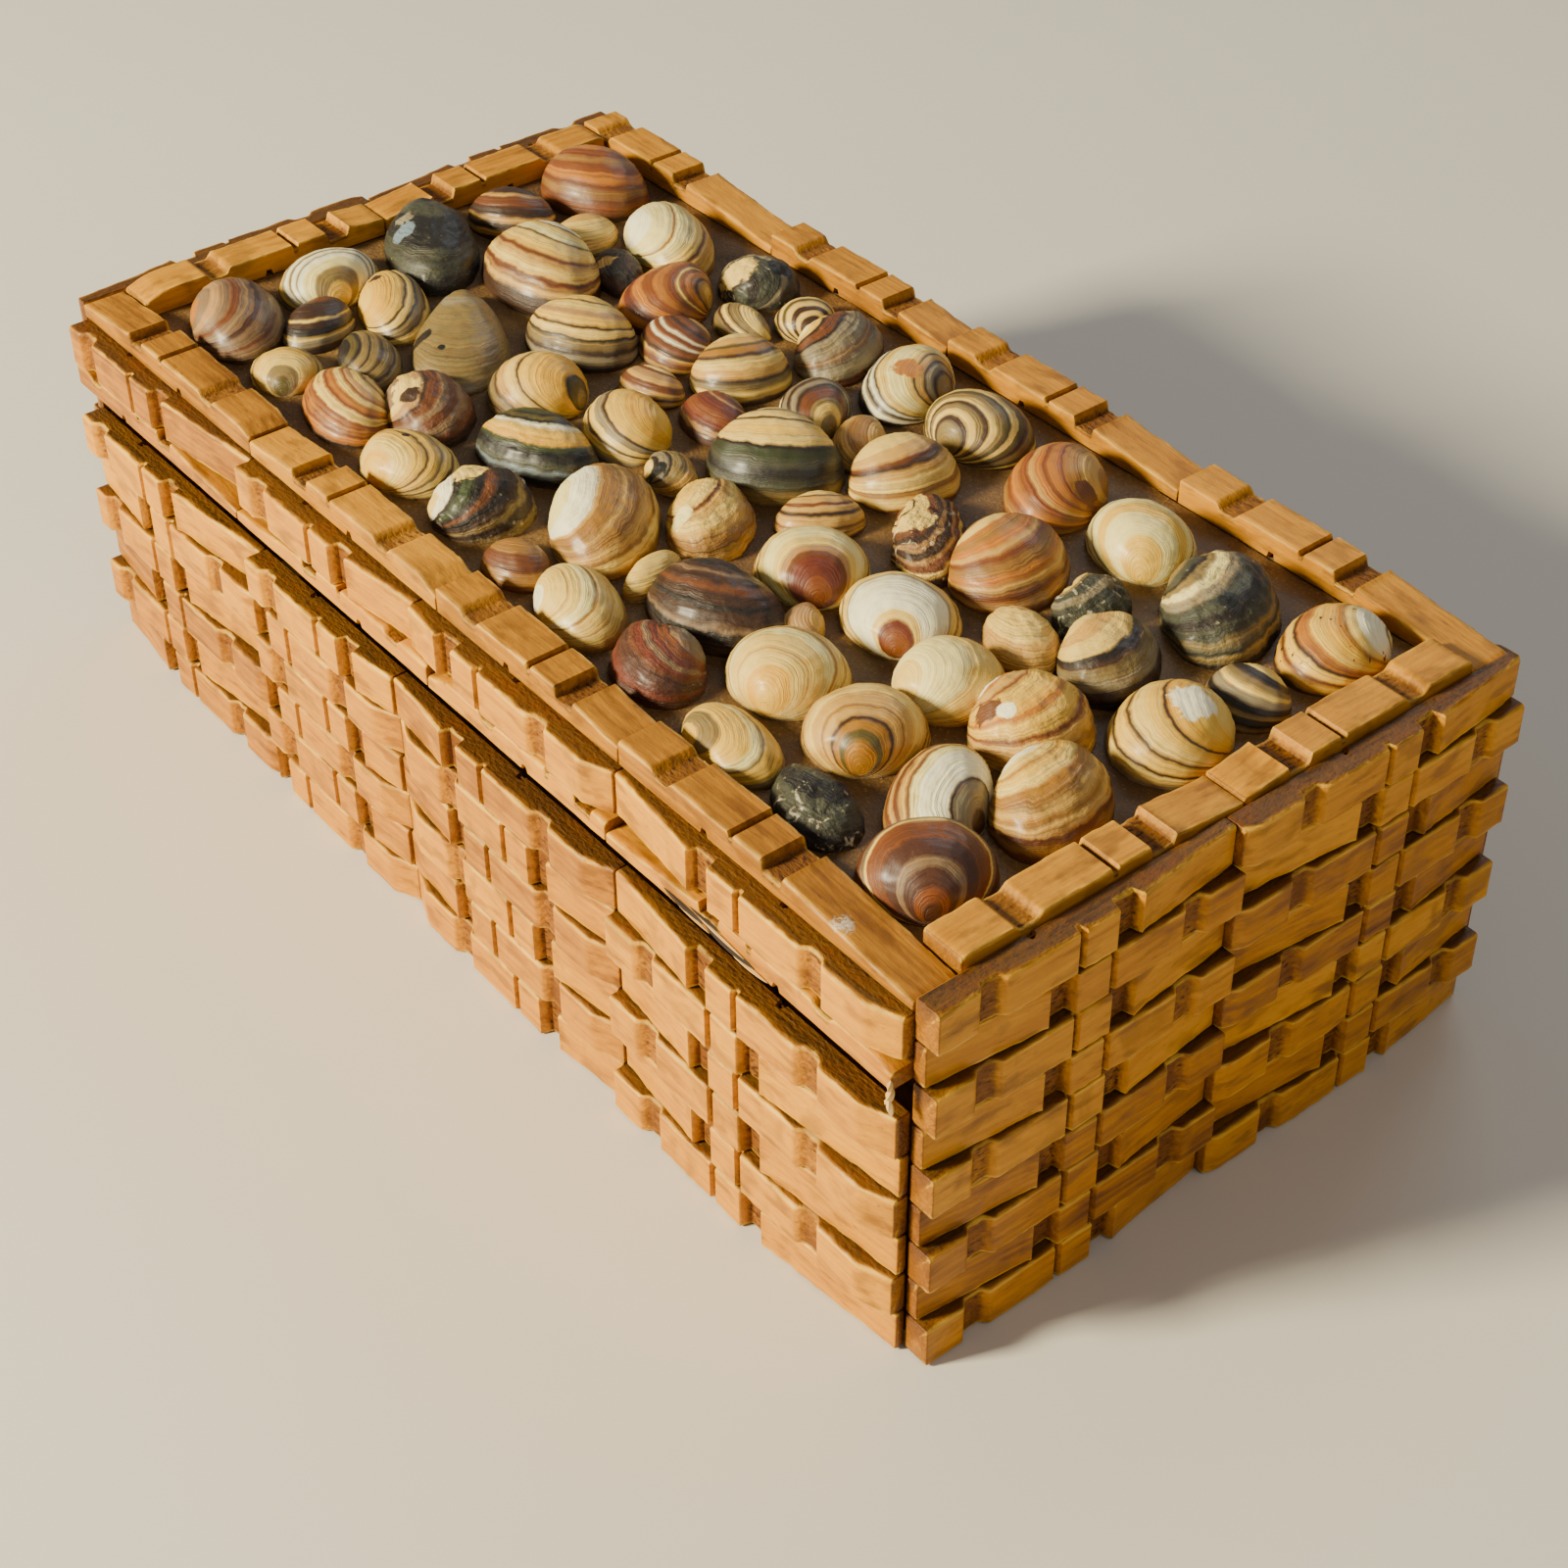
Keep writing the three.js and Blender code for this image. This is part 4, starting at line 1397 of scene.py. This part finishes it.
T = Tint
VALVES = (
    Valve(1, "rust", -118, 49.5, 31, 24, 0, 143,
          "rust 0, tan .1, rust .18, orange .3, rust .44, tan .54, rust .6, orange .68, brown .75,"
          "tan .8, brown .85, rust .9, umber .96", taper=-0.05),
    Valve(2, "ivory_oval", -85, 47.5, 34, 20, -20, -140,
          "ivory 0, white .12, ivory .35, tan .56, ivory .58, cream .7, brown .79, sand .81,"
          "cream .9, tan .95", taper=-0.05),
    Valve(3, "slate", -56, 51, 20, 18, 0, -68,
          "slate 0, dark .2, slate .35, grey .6, slate .68, dark .84, slate .9", coarse=0.5,
          patches=(Patch(T.CREAM, -110, .5, 4.2), Patch(T.BLACK, 40, .5, 2.6))),
    Valve(4, "olive_ringed", -36.5, 49.5, 15, 15, 0, -25,
          "umber 0, cream .3, umber .37, cream .46, olive .55, cream .62, umber .7, cream .77,"
          "olive .86, khaki .93"),
    Valve(5, "smoke", -22, 47, 27, 19, -55, -160,
          "umber 0, cream .1, ivory .17, butter .28, dark .35, brown .39, dark .5, grey .54,"
          "mauve .7, grey .78, brown .93", coarse=0.35),
    Valve(6, "grey_striped", -1, 49, 29, 20, -60, 20,
          "grey 0, khaki .14, umber .2, grey .24, umber .31, sand .34, dark .4, cream .43,"
          "ivory .5, cream .64, dark .72, white .75, dark .79, grey .82, white .85, dark .9,"
          "slate .94", patches=(Patch(T.ORANGE, -37, .25, 3.2),)),
    Valve(7, "olive_fan", 22.5, 49, 27, 21, 0, -85,
          "khaki 0, umber .21, cream .27, khaki .33, umber .39, cream .44, khaki .5, olive .56,"
          "cream .62, olive .67, umber .73, khaki .78, olive .85, cream .9, umber .94", knob=0.3),
    Valve(8, "amber", 49, 46, 30, 21, -55, 50,
          "tan 0, sand .2, tan .36, gold .43, rust .48, orange .52, rust .58, orange .62,"
          "sand .67, rust .7, orange .77, rust .84, tan .89, brown .95",
          patches=(Patch(T.BROWN, 0, .8, 2.2),)),
    Valve(9, "cream_round", 73.5, 46.5, 26, 21, -15, -45,
          "butter 0, ivory .3, butter .5, ivory .62, khaki .73, ivory .76, khaki .84, ivory .87,"
          "grey .94"),
    Valve(10, "black_green", 100, 42, 34, 23, -52, -175,
          "slate 0, khaki .12, slate .2, black .29, khaki .34, ivory .41, grey .48, slate .56,"
          "dark .66, slate .72, khaki .81, slate .86, khaki .9, dark .95", coarse=0.45,
          patches=(Patch(T.BLACK, -37, .45, 2.2),)),
    Valve(11, "orange_speckled", 122.5, 49, 26, 21, -75, 60,
          "ivory 0, umber .15, white .18, white .3, cream .4, gold .48, yellow .53, butter .6,"
          "orange .67, umber .75, butter .77, brown .84, yellow .88, umber .94", specks=T.UMBER),
    Valve(12, "umber_striped", -118.5, 25.5, 23, 18, 25, 143,
          "brown 0, umber .3, sand .5, brown .55, umber .68, sand .78, umber .83, sand .9,"
          "umber .94"),
    Valve(13, "cream_small", -100.5, 33.5, 19, 15, -70, 143,
          "khaki 0, sand .25, cream .5, sand .8, khaki .92", rise=0.38),
    Valve(14, "umber_small", -82, 30, 19, 12, -20, 40,
          "umber 0, dark .4, umber .7, dark .9", coarse=0.4, patches=(Patch(T.SAND, -140, .45, 2.4),)),
    Valve(15, "red_orange", -63.5, 31, 28, 20, -65, 44,
          "sand 0, tan .15, umber .22, orange .26, rust .34, cream .39, rust .42, orange .5,"
          "rust .58, orange .66, red .74, orange .82, red .9", taper=0.2, knob=0.25),
    Valve(16, "olive_cream", -45, 37.5, 19, 11, -8, 30,
          "khaki 0, cream .3, khaki .54, umber .66, cream .69, umber .76, khaki .81, olive .92"),
    Valve(17, "brown_white", -46.5, 20.5, 21, 16, -10, 87,
          "cream 0, sand .15, brown .3, umber .45, brown .5, white .58, brown .61, white .68,"
          "brown .71, umber .8, sand .84, brown .87, sand .93, umber .96"),
    Valve(18, "yellow_banded", -27.5, 24, 23, 21, 75, 155,
          "khaki 0, tan .12, cream .2, sand .4, olive .49, gold .53, umber .6, cream .64,"
          "sand .72, umber .8, khaki .83, cream .89, umber .95"),
    Valve(19, "grey_ringed", -6.5, 27.5, 21, 16, -50, -19,
          "khaki 0, cream .2, khaki .3, brown .36, umber .5, grey .56, umber .63, grey .69,"
          "umber .77, white .83, umber .88, grey .94"),
    Valve(20, "tan_smooth", 9.5, 26.5, 20, 12, -50, 44, "sand 0, tan .4, sand .66, tan .93"),
    Valve(21, "cream_brown_band", 26, 25, 24, 22, 80, 180,
          "tan 0, cream .07, tan .13, cream .16, sand .5, brown .61, umber .65, sand .69,"
          "cream .75, tan .83, cream .88, brown .95"),
    Valve(22, "flaky_brown", 46, 14.5, 31, 15, -40, 175,
          "brown 0, cream .14, dark .24, cream .28, brown .44, umber .54, pink .62, umber .67,"
          "pink .75, brown .79, cream .86, umber .9", coarse=0.8,
          patches=(Patch(T.CREAM, -140, .3, 3.4),)),
    Valve(23, "orange_tan", 63.5, 20, 29, 24, -60, 180,
          "sand 0, tan .13, cream .24, orange .38, tan .43, orange .5, sand .57, rust .61,"
          "tan .66, orange .73, sand .79, rust .84, pink .9, brown .95"),
    Valve(24, "olive_grey", 83, 24, 20, 14, -70, 180,
          "khaki 0, cream .14, khaki .3, slate .36, grey .5, slate .6, dark .92", coarse=0.8),
    Valve(25, "cream_grey", 98, 14.5, 26, 20, -50, 180,
          "khaki 0, umber .1, cream .13, sand .3, cream .45, dark .6, umber .66, khaki .7,"
          "grey .78, umber .86, dark .93", coarse=0.25),
    Valve(26, "black_yellow", 122, 26, 18, 16, -8, 95,
          "khaki 0, dark .14, butter .2, cream .3, dark .41, umber .5, khaki .53, cream .6,"
          "grey .66, dark .74, khaki .81, dark .86, khaki .93"),
    Valve(27, "big_striped", -90.5, 15, 37, 26, -15, 126,
          "mauve 0, plum .12, cream .17, white .24, umber .33, cream .36, ivory .42, umber .49,"
          "cream .52, butter .58, brown .63, sand .67, cream .71, brown .77, sand .82, umber .87,"
          "sand .9, brown .94", taper=-0.12),
    Valve(28, "black", -117, 2, 39, 22, -25, 150,
          "black 0, slate .3, black .5, slate .74, black .9", coarse=0.3, specks=T.SLATE,
          patches=(Patch(T.BLUE, -105, .55, 2.6), Patch(T.GREY, -150, .5, 2.2))),
    Valve(29, "white_dark_line", -62, 6, 28, 22, 15, 135,
          "white 0, cream .2, butter .34, dark .42, cream .45, pink .55, butter .61, umber .68,"
          "cream .7, dark .76, khaki .79, umber .85, grey .89, dark .95"),
    Valve(30, "brown_small", -36, 6, 17, 12, 8, 115,
          "brown 0, cream .28, brown .42, pink .5, sand .6, brown .67, sand .78, umber .85,"
          "sand .89, umber .95"),
    Valve(31, "red_brown", -17, 8.5, 20, 14, -10, 100,
          "pink 0, rust .1, mauve .2, red .3, pink .41, red .45, rust .6, red .74, pink .82,"
          "plum .88"),
    Valve(32, "cream_green", 5, 8, 30, 26, 20, 140,
          "khaki 0, grey .1, cream .2, dark .31, grey .33, cream .38, dark .46, cream .48,"
          "butter .54, cream .6, dark .67, green .69, slate .75, black .8, slate .86, khaki .92,"
          "green .96", taper=-0.1),
    Valve(33, "brown_striped", 26, 2.5, 19, 14, 60, 140,
          "sand 0, brown .2, cream .26, umber .42, sand .45, brown .56, sand .61, umber .68,"
          "sand .73, brown .84, sand .87, umber .95"),
    Valve(34, "cream_bean", 83, 6, 22, 14, -25, 143, "sand 0, cream .3, sand .7, tan .92", coarse=0.3),
    # The white patch on this shell is a painted highlight.
    Valve(35, "yellow_ringed", 121, 7, 27, 23, -60, 60,
          "ivory 0, cream .1, butter .3, yellow .45, umber .56, butter .58, cream .66, umber .74,"
          "butter .77, umber .86, cream .88, grey .95", patches=(Patch(T.WHITE, 50, .3, 4.6),)),
    # The black and dark patches stand for a hole and a notch in the margin: painted shade, with no hole in
    # the mesh.
    Valve(36, "grey_wedge", -78, -15, 42, 21, -35, 143,
          "khaki 0, grey .3, khaki .4, khaki .6, grey .92", rise=0.36, taper=0.3, knob=0,
          patches=(Patch(T.BLACK, -55, .6, .9), Patch(T.DARK, -100, .82, 2.2))),
    Valve(37, "yellow_olive", -49.5, -14.5, 23, 22, -10, 25,
          "khaki 0, olive .14, dark .22, yellow .25, butter .5, umber .6, cream .62, sand .7,"
          "umber .78, khaki .81, umber .89, khaki .92"),
    Valve(38, "yellow_smooth", -25.5, -8.5, 25, 19, -20, 44,
          "butter 0, yellow .3, butter .52, umber .66, grey .68, cream .75, umber .82, cream .84,"
          "grey .92"),
    # The black patch stands for a hole: painted shade, with no hole in the mesh.
    Valve(39, "broken", -6, -11, 16, 11, -15, -136,
          "cream 0, dark .25, grey .35, dark .5, khaki .54, sand .7, khaki .9", coarse=0.3,
          patches=(Patch(T.BLACK, -85, .6, 1.8),)),
    Valve(40, "cream_tawny", 13, -15.5, 26, 18, -40, -178,
          "cream 0, butter .2, cream .38, brown .5, sand .54, cream .62, sand .72, tan .8,"
          "sand .9", coarse=0.4, patches=(Patch(T.IVORY, -90, .7, 2.2),)),
    Valve(41, "white_brown_beak", 38.5, -10, 24, 23, 0, -33,
          "rust 0, red .2, brown .34, pink .4, cream .46, ivory .55, cream .7, dark .79,"
          "cream .82, dark .89, sand .92", rise=0.4),
    Valve(42, "white_red_beak", 62, -7, 26, 22, 0, -45,
          "rust 0, red .18, cream .24, white .32, white .55, grey .66, cream .69, khaki .79,"
          "cream .83, khaki .92", rise=0.4),
    Valve(43, "cream_plain", 84, -13.5, 22, 22, 0, -105,
          "cream 0, ivory .3, cream .6, sand .84, tan .94"),
    Valve(44, "orange_white", 103, -10.5, 25, 24, -60, -170,
          "sand 0, white .1, orange .24, sand .29, rust .4, butter .43, yellow .54, orange .6,"
          "butter .64, rust .73, sand .77, tan .85, sand .9", coarse=0.25,
          patches=(Patch(T.BROWN, -110, .72, 2.2), Patch(T.WHITE, -88, .55, 1.6))),
    Valve(45, "cream_streaked", 121, -22.5, 29, 22, -60, 175,
          "cream 0, white .1, cream .3, gold .41, butter .44, cream .5, gold .56, tan .61,"
          "sand .67, gold .74, sand .77, brown .84, tan .89, brown .95", coarse=0.2),
    Valve(46, "fragment", 51.5, -23, 13, 9, -50, 44, "sand 0, pink .4, sand .7", rise=0.3, taper=0.2),
    Valve(47, "white_ringed", -119.5, -24.5, 26, 21, -75, -15,
          "butter 0, khaki .2, ivory .35, white .48, grey .55, white .58, khaki .64, white .68,"
          "grey .75, butter .79, umber .86, grey .89, khaki .94", rise=0.4),
    Valve(48, "yellow_lined", -100, -18.5, 31, 16, -25, -130,
          "butter 0, yellow .3, butter .52, dark .64, cream .66, dark .74, khaki .76, umber .84,"
          "cream .87, khaki .94", patches=(Patch(T.UMBER, -175, .55, 1.5),)),
    Valve(49, "dark_oval", -103.5, -37, 21, 15, -60, 143,
          "umber 0, brown .2, umber .4, cream .66, umber .69, dark .75, cream .83, grey .86,"
          "umber .93"),
    Valve(50, "olive_lined", -83.5, -36, 24, 14, -20, -136,
          "dark 0, olive .3, dark .4, khaki .45, dark .54, khaki .57, umber .66, khaki .69,"
          "umber .79, khaki .82, olive .93"),
    Valve(51, "grey_white_patch", -58, -37, 27, 19, -20, -136,
          "brown 0, mauve .15, cream .3, pink .42, dark .5, brown .53, mauve .62, brown .68,"
          "mauve .76, brown .84, umber .93", coarse=0.35,
          patches=(Patch(T.CREAM, -125, .45, 3.2), Patch(T.UMBER, -80, .45, 2.2))),
    Valve(52, "green_black", -30.5, -28, 30, 20, 15, 143,
          "green 0, khaki .1, green .2, black .3, green .33, black .4, olive .43, black .49,"
          "white .53, butter .57, yellow .64, green .71, black .75, slate .83, blue .88,"
          "black .91", coarse=0.2),
    Valve(53, "big_cream", 0, -32, 36, 23, -38, -135,
          "tan 0, ivory .07, white .3, sand .5, tan .52, sand .64, tan .68, sand .76, tan .83,"
          "cream .86, tan .93", coarse=0.15),
    Valve(54, "cream_sliver", 20.5, -35.5, 17, 9, -70, 143, "sand 0, cream .3, sand .85"),
    Valve(55, "dark_chevron", 38.5, -33.5, 31, 22, 10, 143,
          "umber 0, brown .12, umber .2, dark .34, umber .4, mauve .47, umber .5, brown .58,"
          "umber .63, dark .7, umber .74, mauve .82, dark .85, umber .93", coarse=0.2),
    Valve(56, "cream_pearl", 62.5, -35, 25, 23, 0, -60,
          "butter 0, yellow .16, cream .3, sand .43, cream .45, ivory .58, tan .68, cream .7,"
          "sand .8, cream .82, tan .92", rise=0.42, knob=0.3),
    Valve(57, "gold_beak", 85, -35, 24, 23, 70, -45,
          "gold 0, olive .2, gold .27, umber .34, sand .38, tan .46, sand .49, cream .6,"
          "sand .73, umber .8, sand .82, umber .88, sand .9, umber .96", rise=0.42, knob=0.3),
    Valve(58, "brown_white_patch", 108, -37.5, 31, 19, -55, 4,
          "umber 0, grey .15, umber .32, white .36, ivory .6, brown .67, sand .7, brown .76,"
          "sand .81, brown .85, tan .9, umber .95"),
    Valve(59, "purple_brown", -116.5, -50, 33, 21, -20, -132,
          "pink 0, orange .1, mauve .2, pink .33, mauve .42, brown .5, mauve .57, plum .66,"
          "mauve .71, brown .8, mauve .84, umber .92"),
    Valve(60, "yellow_cream", -91.5, -52, 17, 16, 0, -37,
          "olive 0, khaki .2, cream .35, butter .55, khaki .7, cream .77, khaki .9", rise=0.38),
    Valve(61, "orange_striped", -70, -50, 29, 18, -15, 87,
          "plum 0, brown .12, cream .2, red .28, cream .31, pink .4, rust .47, cream .5,"
          "orange .56, rust .62, cream .66, rust .74, orange .78, brown .86, orange .89,"
          "umber .95"),
    # The dark patch stands for a hole: painted shade, with no hole in the mesh.
    Valve(62, "cream_ringed", -42.5, -51.5, 25, 18, 10, -95,
          "butter 0, yellow .2, cream .28, butter .45, umber .57, butter .59, khaki .68,"
          "cream .72, umber .8, cream .82, khaki .92", patches=(Patch(T.DARK, 160, .2, .8),)),
    Valve(63, "dark_cream", -20, -48.5, 22, 21, -60, -120,
          "cream 0, white .2, dark .34, green .4, dark .5, brown .56, dark .62, umber .7,"
          "khaki .77, umber .83, khaki .92", coarse=0.5, patches=(Patch(T.CREAM, 180, .4, 4.2),)),
    Valve(64, "tan_small", 1, -54, 17, 13, 0, 143, "brown 0, tan .25, brown .6, tan .8, brown .93"),
    Valve(65, "cream_flat", 20.5, -53, 27, 17, -15, -136,
          "white 0, cream .2, sand .43, cream .45, ivory .54, tan .64, cream .66, sand .76,"
          "cream .79, tan .9"),
    Valve(66, "rust_striped", 45, -52.5, 24, 18, -20, 80,
          "mauve 0, grey .2, mauve .3, rust .38, brown .44, red .48, mauve .55, red .6, brown .66,"
          "plum .7, red .8, plum .9", coarse=0.35),
    Valve(67, "yellow_flat", 72, -55.5, 26, 15, -5, -136,
          "butter 0, khaki .2, butter .4, ivory .64, khaki .72, butter .75, khaki .9", rise=0.4),
    Valve(68, "charcoal", 96, -55.5, 23, 14, -10, 143,
          "slate 0, black .4, slate .6, black .85", coarse=0.7, specks=T.GREY),
    Valve(69, "plum", 121, -51.5, 25, 23, 60, -37,
          "plum 0, rust .12, plum .2, mauve .3, plum .37, brown .5, rust .58, cream .68,"
          "mauve .72, brown .78, mauve .9, brown .95"),
)


@dataclass
class ShellBed:
    """The shells on the lid, each a piece of its own, and the glue they are set in."""

    valves: Sequence[Valve]
    panel: str = "lid_panel"
    columns: int = 150
    rows: int = 72
    thickness: float = 0.9
    rim_gap: float = 0.0002
    deck_gap: float = 0.0001

    def build(self) -> list[bpy.types.Object]:
        """Builds the glue and every shell.

        Returns:
            All the pieces.
        """
        pieces = [self.glue()]
        for node in sorted(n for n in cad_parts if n.startswith("shell")):
            members = [valve for valve in self.valves if valve.label in node]
            pieces.extend(self.cluster(node, members))
        return pieces

    def cluster(self, node: str, members: Sequence[Valve]) -> list[bpy.types.Object]:
        """Builds the shells of one CAD node about the middle of its box.

        Args:
            node: the CAD node.
            members: its one or two shells.

        Returns:
            The shells.
        """
        low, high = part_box(node)
        lows, highs = [], []
        for valve in members:
            turn = math.radians(valve.angle)
            half_x = math.hypot(valve.length * math.cos(turn), valve.width * math.sin(turn)) / 2
            half_y = math.hypot(valve.length * math.sin(turn), valve.width * math.cos(turn)) / 2
            lows.append((valve.x - half_x, valve.y - half_y))
            highs.append((valve.x + half_x, valve.y + half_y))
        middle = (np.min(lows, axis=0) + np.max(highs, axis=0)) / 2
        pieces = []
        for valve in members:
            offset = (np.array([valve.x, valve.y]) - middle) * MM
            seat = Vector(((low.x + high.x) / 2 + offset[0], (low.y + high.y) / 2 + offset[1], low.z))
            pieces.append(ShellMaker(valve, seat).build(node))
        return pieces

    def glue(self) -> bpy.types.Object:
        """Builds the uneven bed of glue over the deck.

        Returns:
            A closed thin slab inside the rim.
        """
        inner_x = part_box("rim_right_1")[0].x - self.rim_gap
        inner_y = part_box("rim_back_1")[0].y - self.rim_gap
        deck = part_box(self.panel)[1].z
        x, y = np.meshgrid(
            np.linspace(-inner_x, inner_x, self.columns), np.linspace(-inner_y, inner_y, self.rows)
        )
        top = np.empty_like(x)
        for index in np.ndindex(x.shape):
            place = Vector((x[index], y[index], 0))
            lump = noise.noise(place * 95) * 0.5 + noise.noise(place * 330) * 0.35
            top[index] = deck + self.thickness * MM * min(1.5, max(0.25, 0.7 + lump))
        bottom = np.full_like(top, deck + self.deck_gap)
        grid = [np.stack([x, y, z], axis=-1).reshape(-1, 3) for z in (top, bottom)]
        index = np.arange(x.size).reshape(x.shape)
        quads = np.stack([index[:-1, :-1], index[:-1, 1:], index[1:, 1:], index[1:, :-1]], axis=-1)
        upper = quads.reshape(-1, 4)
        lower = upper[:, ::-1] + x.size
        border = [*index[0], *index[1:, -1], *index[-1, -2::-1], *index[-2:0:-1, 0]]
        sides = [
            [int(a), int(a) + x.size, int(b) + x.size, int(b)]
            for a, b in zip(border, [*border[1:], border[0]])
        ]
        draft = Draft("glue_bed", corners=grid, faces=[*upper.tolist(), *lower.tolist(), *sides])
        return settle(draft.piece(GlueBed().material(), SOFT_SHARP), "board_wood")


# ---------------------------------------------------------------- the box and its studio


@dataclass
class PegBox:
    """The base, the lid's sides and the rim, all made of pegs, and the two boards."""

    honey: bpy.types.Material
    rim: Rim
    board: bpy.types.Material
    long_courses: int = 6
    end_courses: int = 7
    lid_end_courses: int = 2
    lid_side_seed: int = 10
    end_seed: int = 20
    lid_end_seed: int = 30

    def build(self) -> list[bpy.types.Object]:
        """Builds every wall and dresses the boards.

        Returns:
            The pieces made of pegs.
        """
        walls = []
        for seed, side in enumerate((Side.FRONT, Side.BACK)):
            node = f"base_wall_{side.word}"
            walls.append(self.wall(node, side, self.long_courses, LONG_EVEN, LONG_ODD, seed))
            walls.append(LidSide(side, self.honey, self.lid_side_seed + seed).build())
        for seed, side in enumerate((Side.LEFT, Side.RIGHT)):
            node = f"base_wall_{side.word}"
            walls.append(self.wall(node, side, self.end_courses, END_ODD, END_EVEN, self.end_seed + seed))
            node = f"lid_end_{side.word}"
            seeds = self.lid_end_seed + seed
            walls.append(self.wall(node, side, self.lid_end_courses, END_EVEN, END_ODD, seeds))
        for node in ("floor_board", "lid_panel"):
            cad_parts[node].data.materials.clear()
            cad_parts[node].data.materials.append(self.board)
        return [*walls, *self.rim.build()]

    def wall(
        self, node: str, side: Side, courses: int, first: Course, second: Course, seed: int
    ) -> bpy.types.Object:
        """Builds one wall of honey-coloured pegs.

        Args:
            node: the CAD node that it stands for.
            side: the side of the box.
            courses: how many courses it has.
            first: the layout of the lowest course and every other one.
            second: the layout of the courses between.
            seed: its own random numbers.

        Returns:
            The wall.
        """
        return PegWall(node, side, courses, first, second, self.honey, seed).build()


@dataclass(frozen=True)
class Lamp:
    """A square soft light that looks at the box."""

    name: str
    place: tuple[float, float, float]
    size: float
    power: float
    colour: Colour

    def hang(self, target: Vector) -> None:
        """Adds the light to the scene, aimed at the target.

        Args:
            target: the point that it looks at.
        """
        light = bpy.data.lights.new(self.name, "AREA")
        light.shape, light.size, light.energy, light.color = "SQUARE", self.size, self.power, self.colour
        thing = bpy.data.objects.new(self.name, light)
        thing.location = self.place
        thing.rotation_euler = (target - Vector(self.place)).to_track_quat("-Z", "Y").to_euler()
        bpy.context.scene.collection.objects.link(thing)


@dataclass
class Studio:
    """The floor, the lights and the camera."""

    floor_size: float = 6.0
    lamps: tuple[Lamp, ...] = (
        Lamp("key", (-0.55, -1.52, 0.86), 0.34, 92.0, (1.0, 0.89, 0.6)),
        Lamp("fill", (1.5, 0.1, 1.3), 1.2, 4.0, (1.0, 0.92, 0.8)),
        Lamp("back", (-0.7, 1.3, 1.2), 0.9, 6.0, (0.9, 0.95, 1.0)),
    )
    camera_place: tuple[float, float, float] = (0.3781, -0.2854, 0.3962)
    camera_way: tuple[float, float, float] = (-0.6123, 0.4978, -0.6142)
    camera_lens: float = 62.3
    camera_shift: tuple[float, float] = (-0.019, -0.06)
    floor_drop: float = 0.0002
    aim: tuple[float, float, float] = (0, 0, 0.05)
    air_colour: Colour = (1.0, 0.97, 0.9)
    air_strength: float = 0.22

    def build(self) -> None:
        """Sets up everything around the object."""
        self.floor()
        self.air()
        for lamp in self.lamps:
            lamp.hang(Vector(self.aim))
        self.camera()

    def floor(self) -> None:
        """Lays a plain pale floor."""
        half = self.floor_size / 2
        mesh = bpy.data.meshes.new("studio_floor")
        corners = [(-half, -half), (half, -half), (half, half), (-half, half)]
        mesh.from_pydata([(x, y, -self.floor_drop) for x, y in corners], [], [(0, 1, 2, 3)])
        shader = Shader("studio_floor")
        soft = shader.cloud(shader.place(), 3.0, 2.0)
        colour = shader.mix(soft, linear("d8d3ca"), linear("dfdad2"))
        mesh.materials.append(shader.finish(base_color=colour, roughness=0.8))
        thing = bpy.data.objects.new("studio_floor", mesh)
        bpy.context.scene.collection.objects.link(thing)

    def air(self) -> None:
        """Gives the surroundings an even soft light."""
        world = bpy.data.worlds.new("studio_air")
        world.use_nodes = True
        air = world.node_tree.nodes["Background"]
        air.inputs["Color"].default_value = (*self.air_colour, 1)
        air.inputs["Strength"].default_value = self.air_strength
        bpy.context.scene.world = world

    def camera(self) -> None:
        """Sets the camera."""
        lens = bpy.data.cameras.new("camera")
        lens.sensor_width, lens.lens = 36.0, self.camera_lens
        lens.shift_x, lens.shift_y = self.camera_shift
        lens.clip_start = 0.01
        thing = bpy.data.objects.new("camera", lens)
        thing.location = self.camera_place
        thing.rotation_euler = Vector(self.camera_way).to_track_quat("-Z", "Y").to_euler()
        bpy.context.scene.collection.objects.link(thing)
        bpy.context.scene.camera = thing


def main() -> None:
    """Builds the box, its shells and the studio, and reports every piece."""
    logging.basicConfig(level=logging.INFO, format="%(name)s: %(message)s")
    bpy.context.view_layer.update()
    honey = PegWood("honey_wood", "e29a0a", "bd7806", "6a3803", "221002", "f6c644")
    rim_tones = ("da981c", "b4760e", "683c0a", "261204", "ecb84a")
    rim_wood = PegWood("rim_wood", *rim_tones, roughness=0.55, coat=0.08)
    spot = (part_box(SCUFFED_NODE)[1] + SCUFF_FROM_CORNER).to_tuple()
    scuffed = PegWood("rim_wood_scuffed", *rim_tones, roughness=0.55, coat=0.08, scuff=spot)
    board = BoardWood("board_wood", "9a7a52", "5e452c")
    splinter = BoardWood("splinter_wood", "f0d08a", "b07c34")
    # Nearly black: the split's slivers are painted shade in the crevice.
    split = BoardWood("split_shade", "3a240f", "160c05")
    rim = Rim(rim_wood.material(), scuffed.material())
    pieces: Iterable[bpy.types.Object] = [
        *PegBox(honey.material(), rim, board.material()).build(),
        *Splinters(splinter.material(), split.material()).build(),
        *ShellBed(VALVES).build(),
    ]
    for piece in pieces:
        LOG.info("%s: %d corners", piece.name, len(piece.data.vertices))
    Studio().build()


if __name__ == "__main__":
    main()
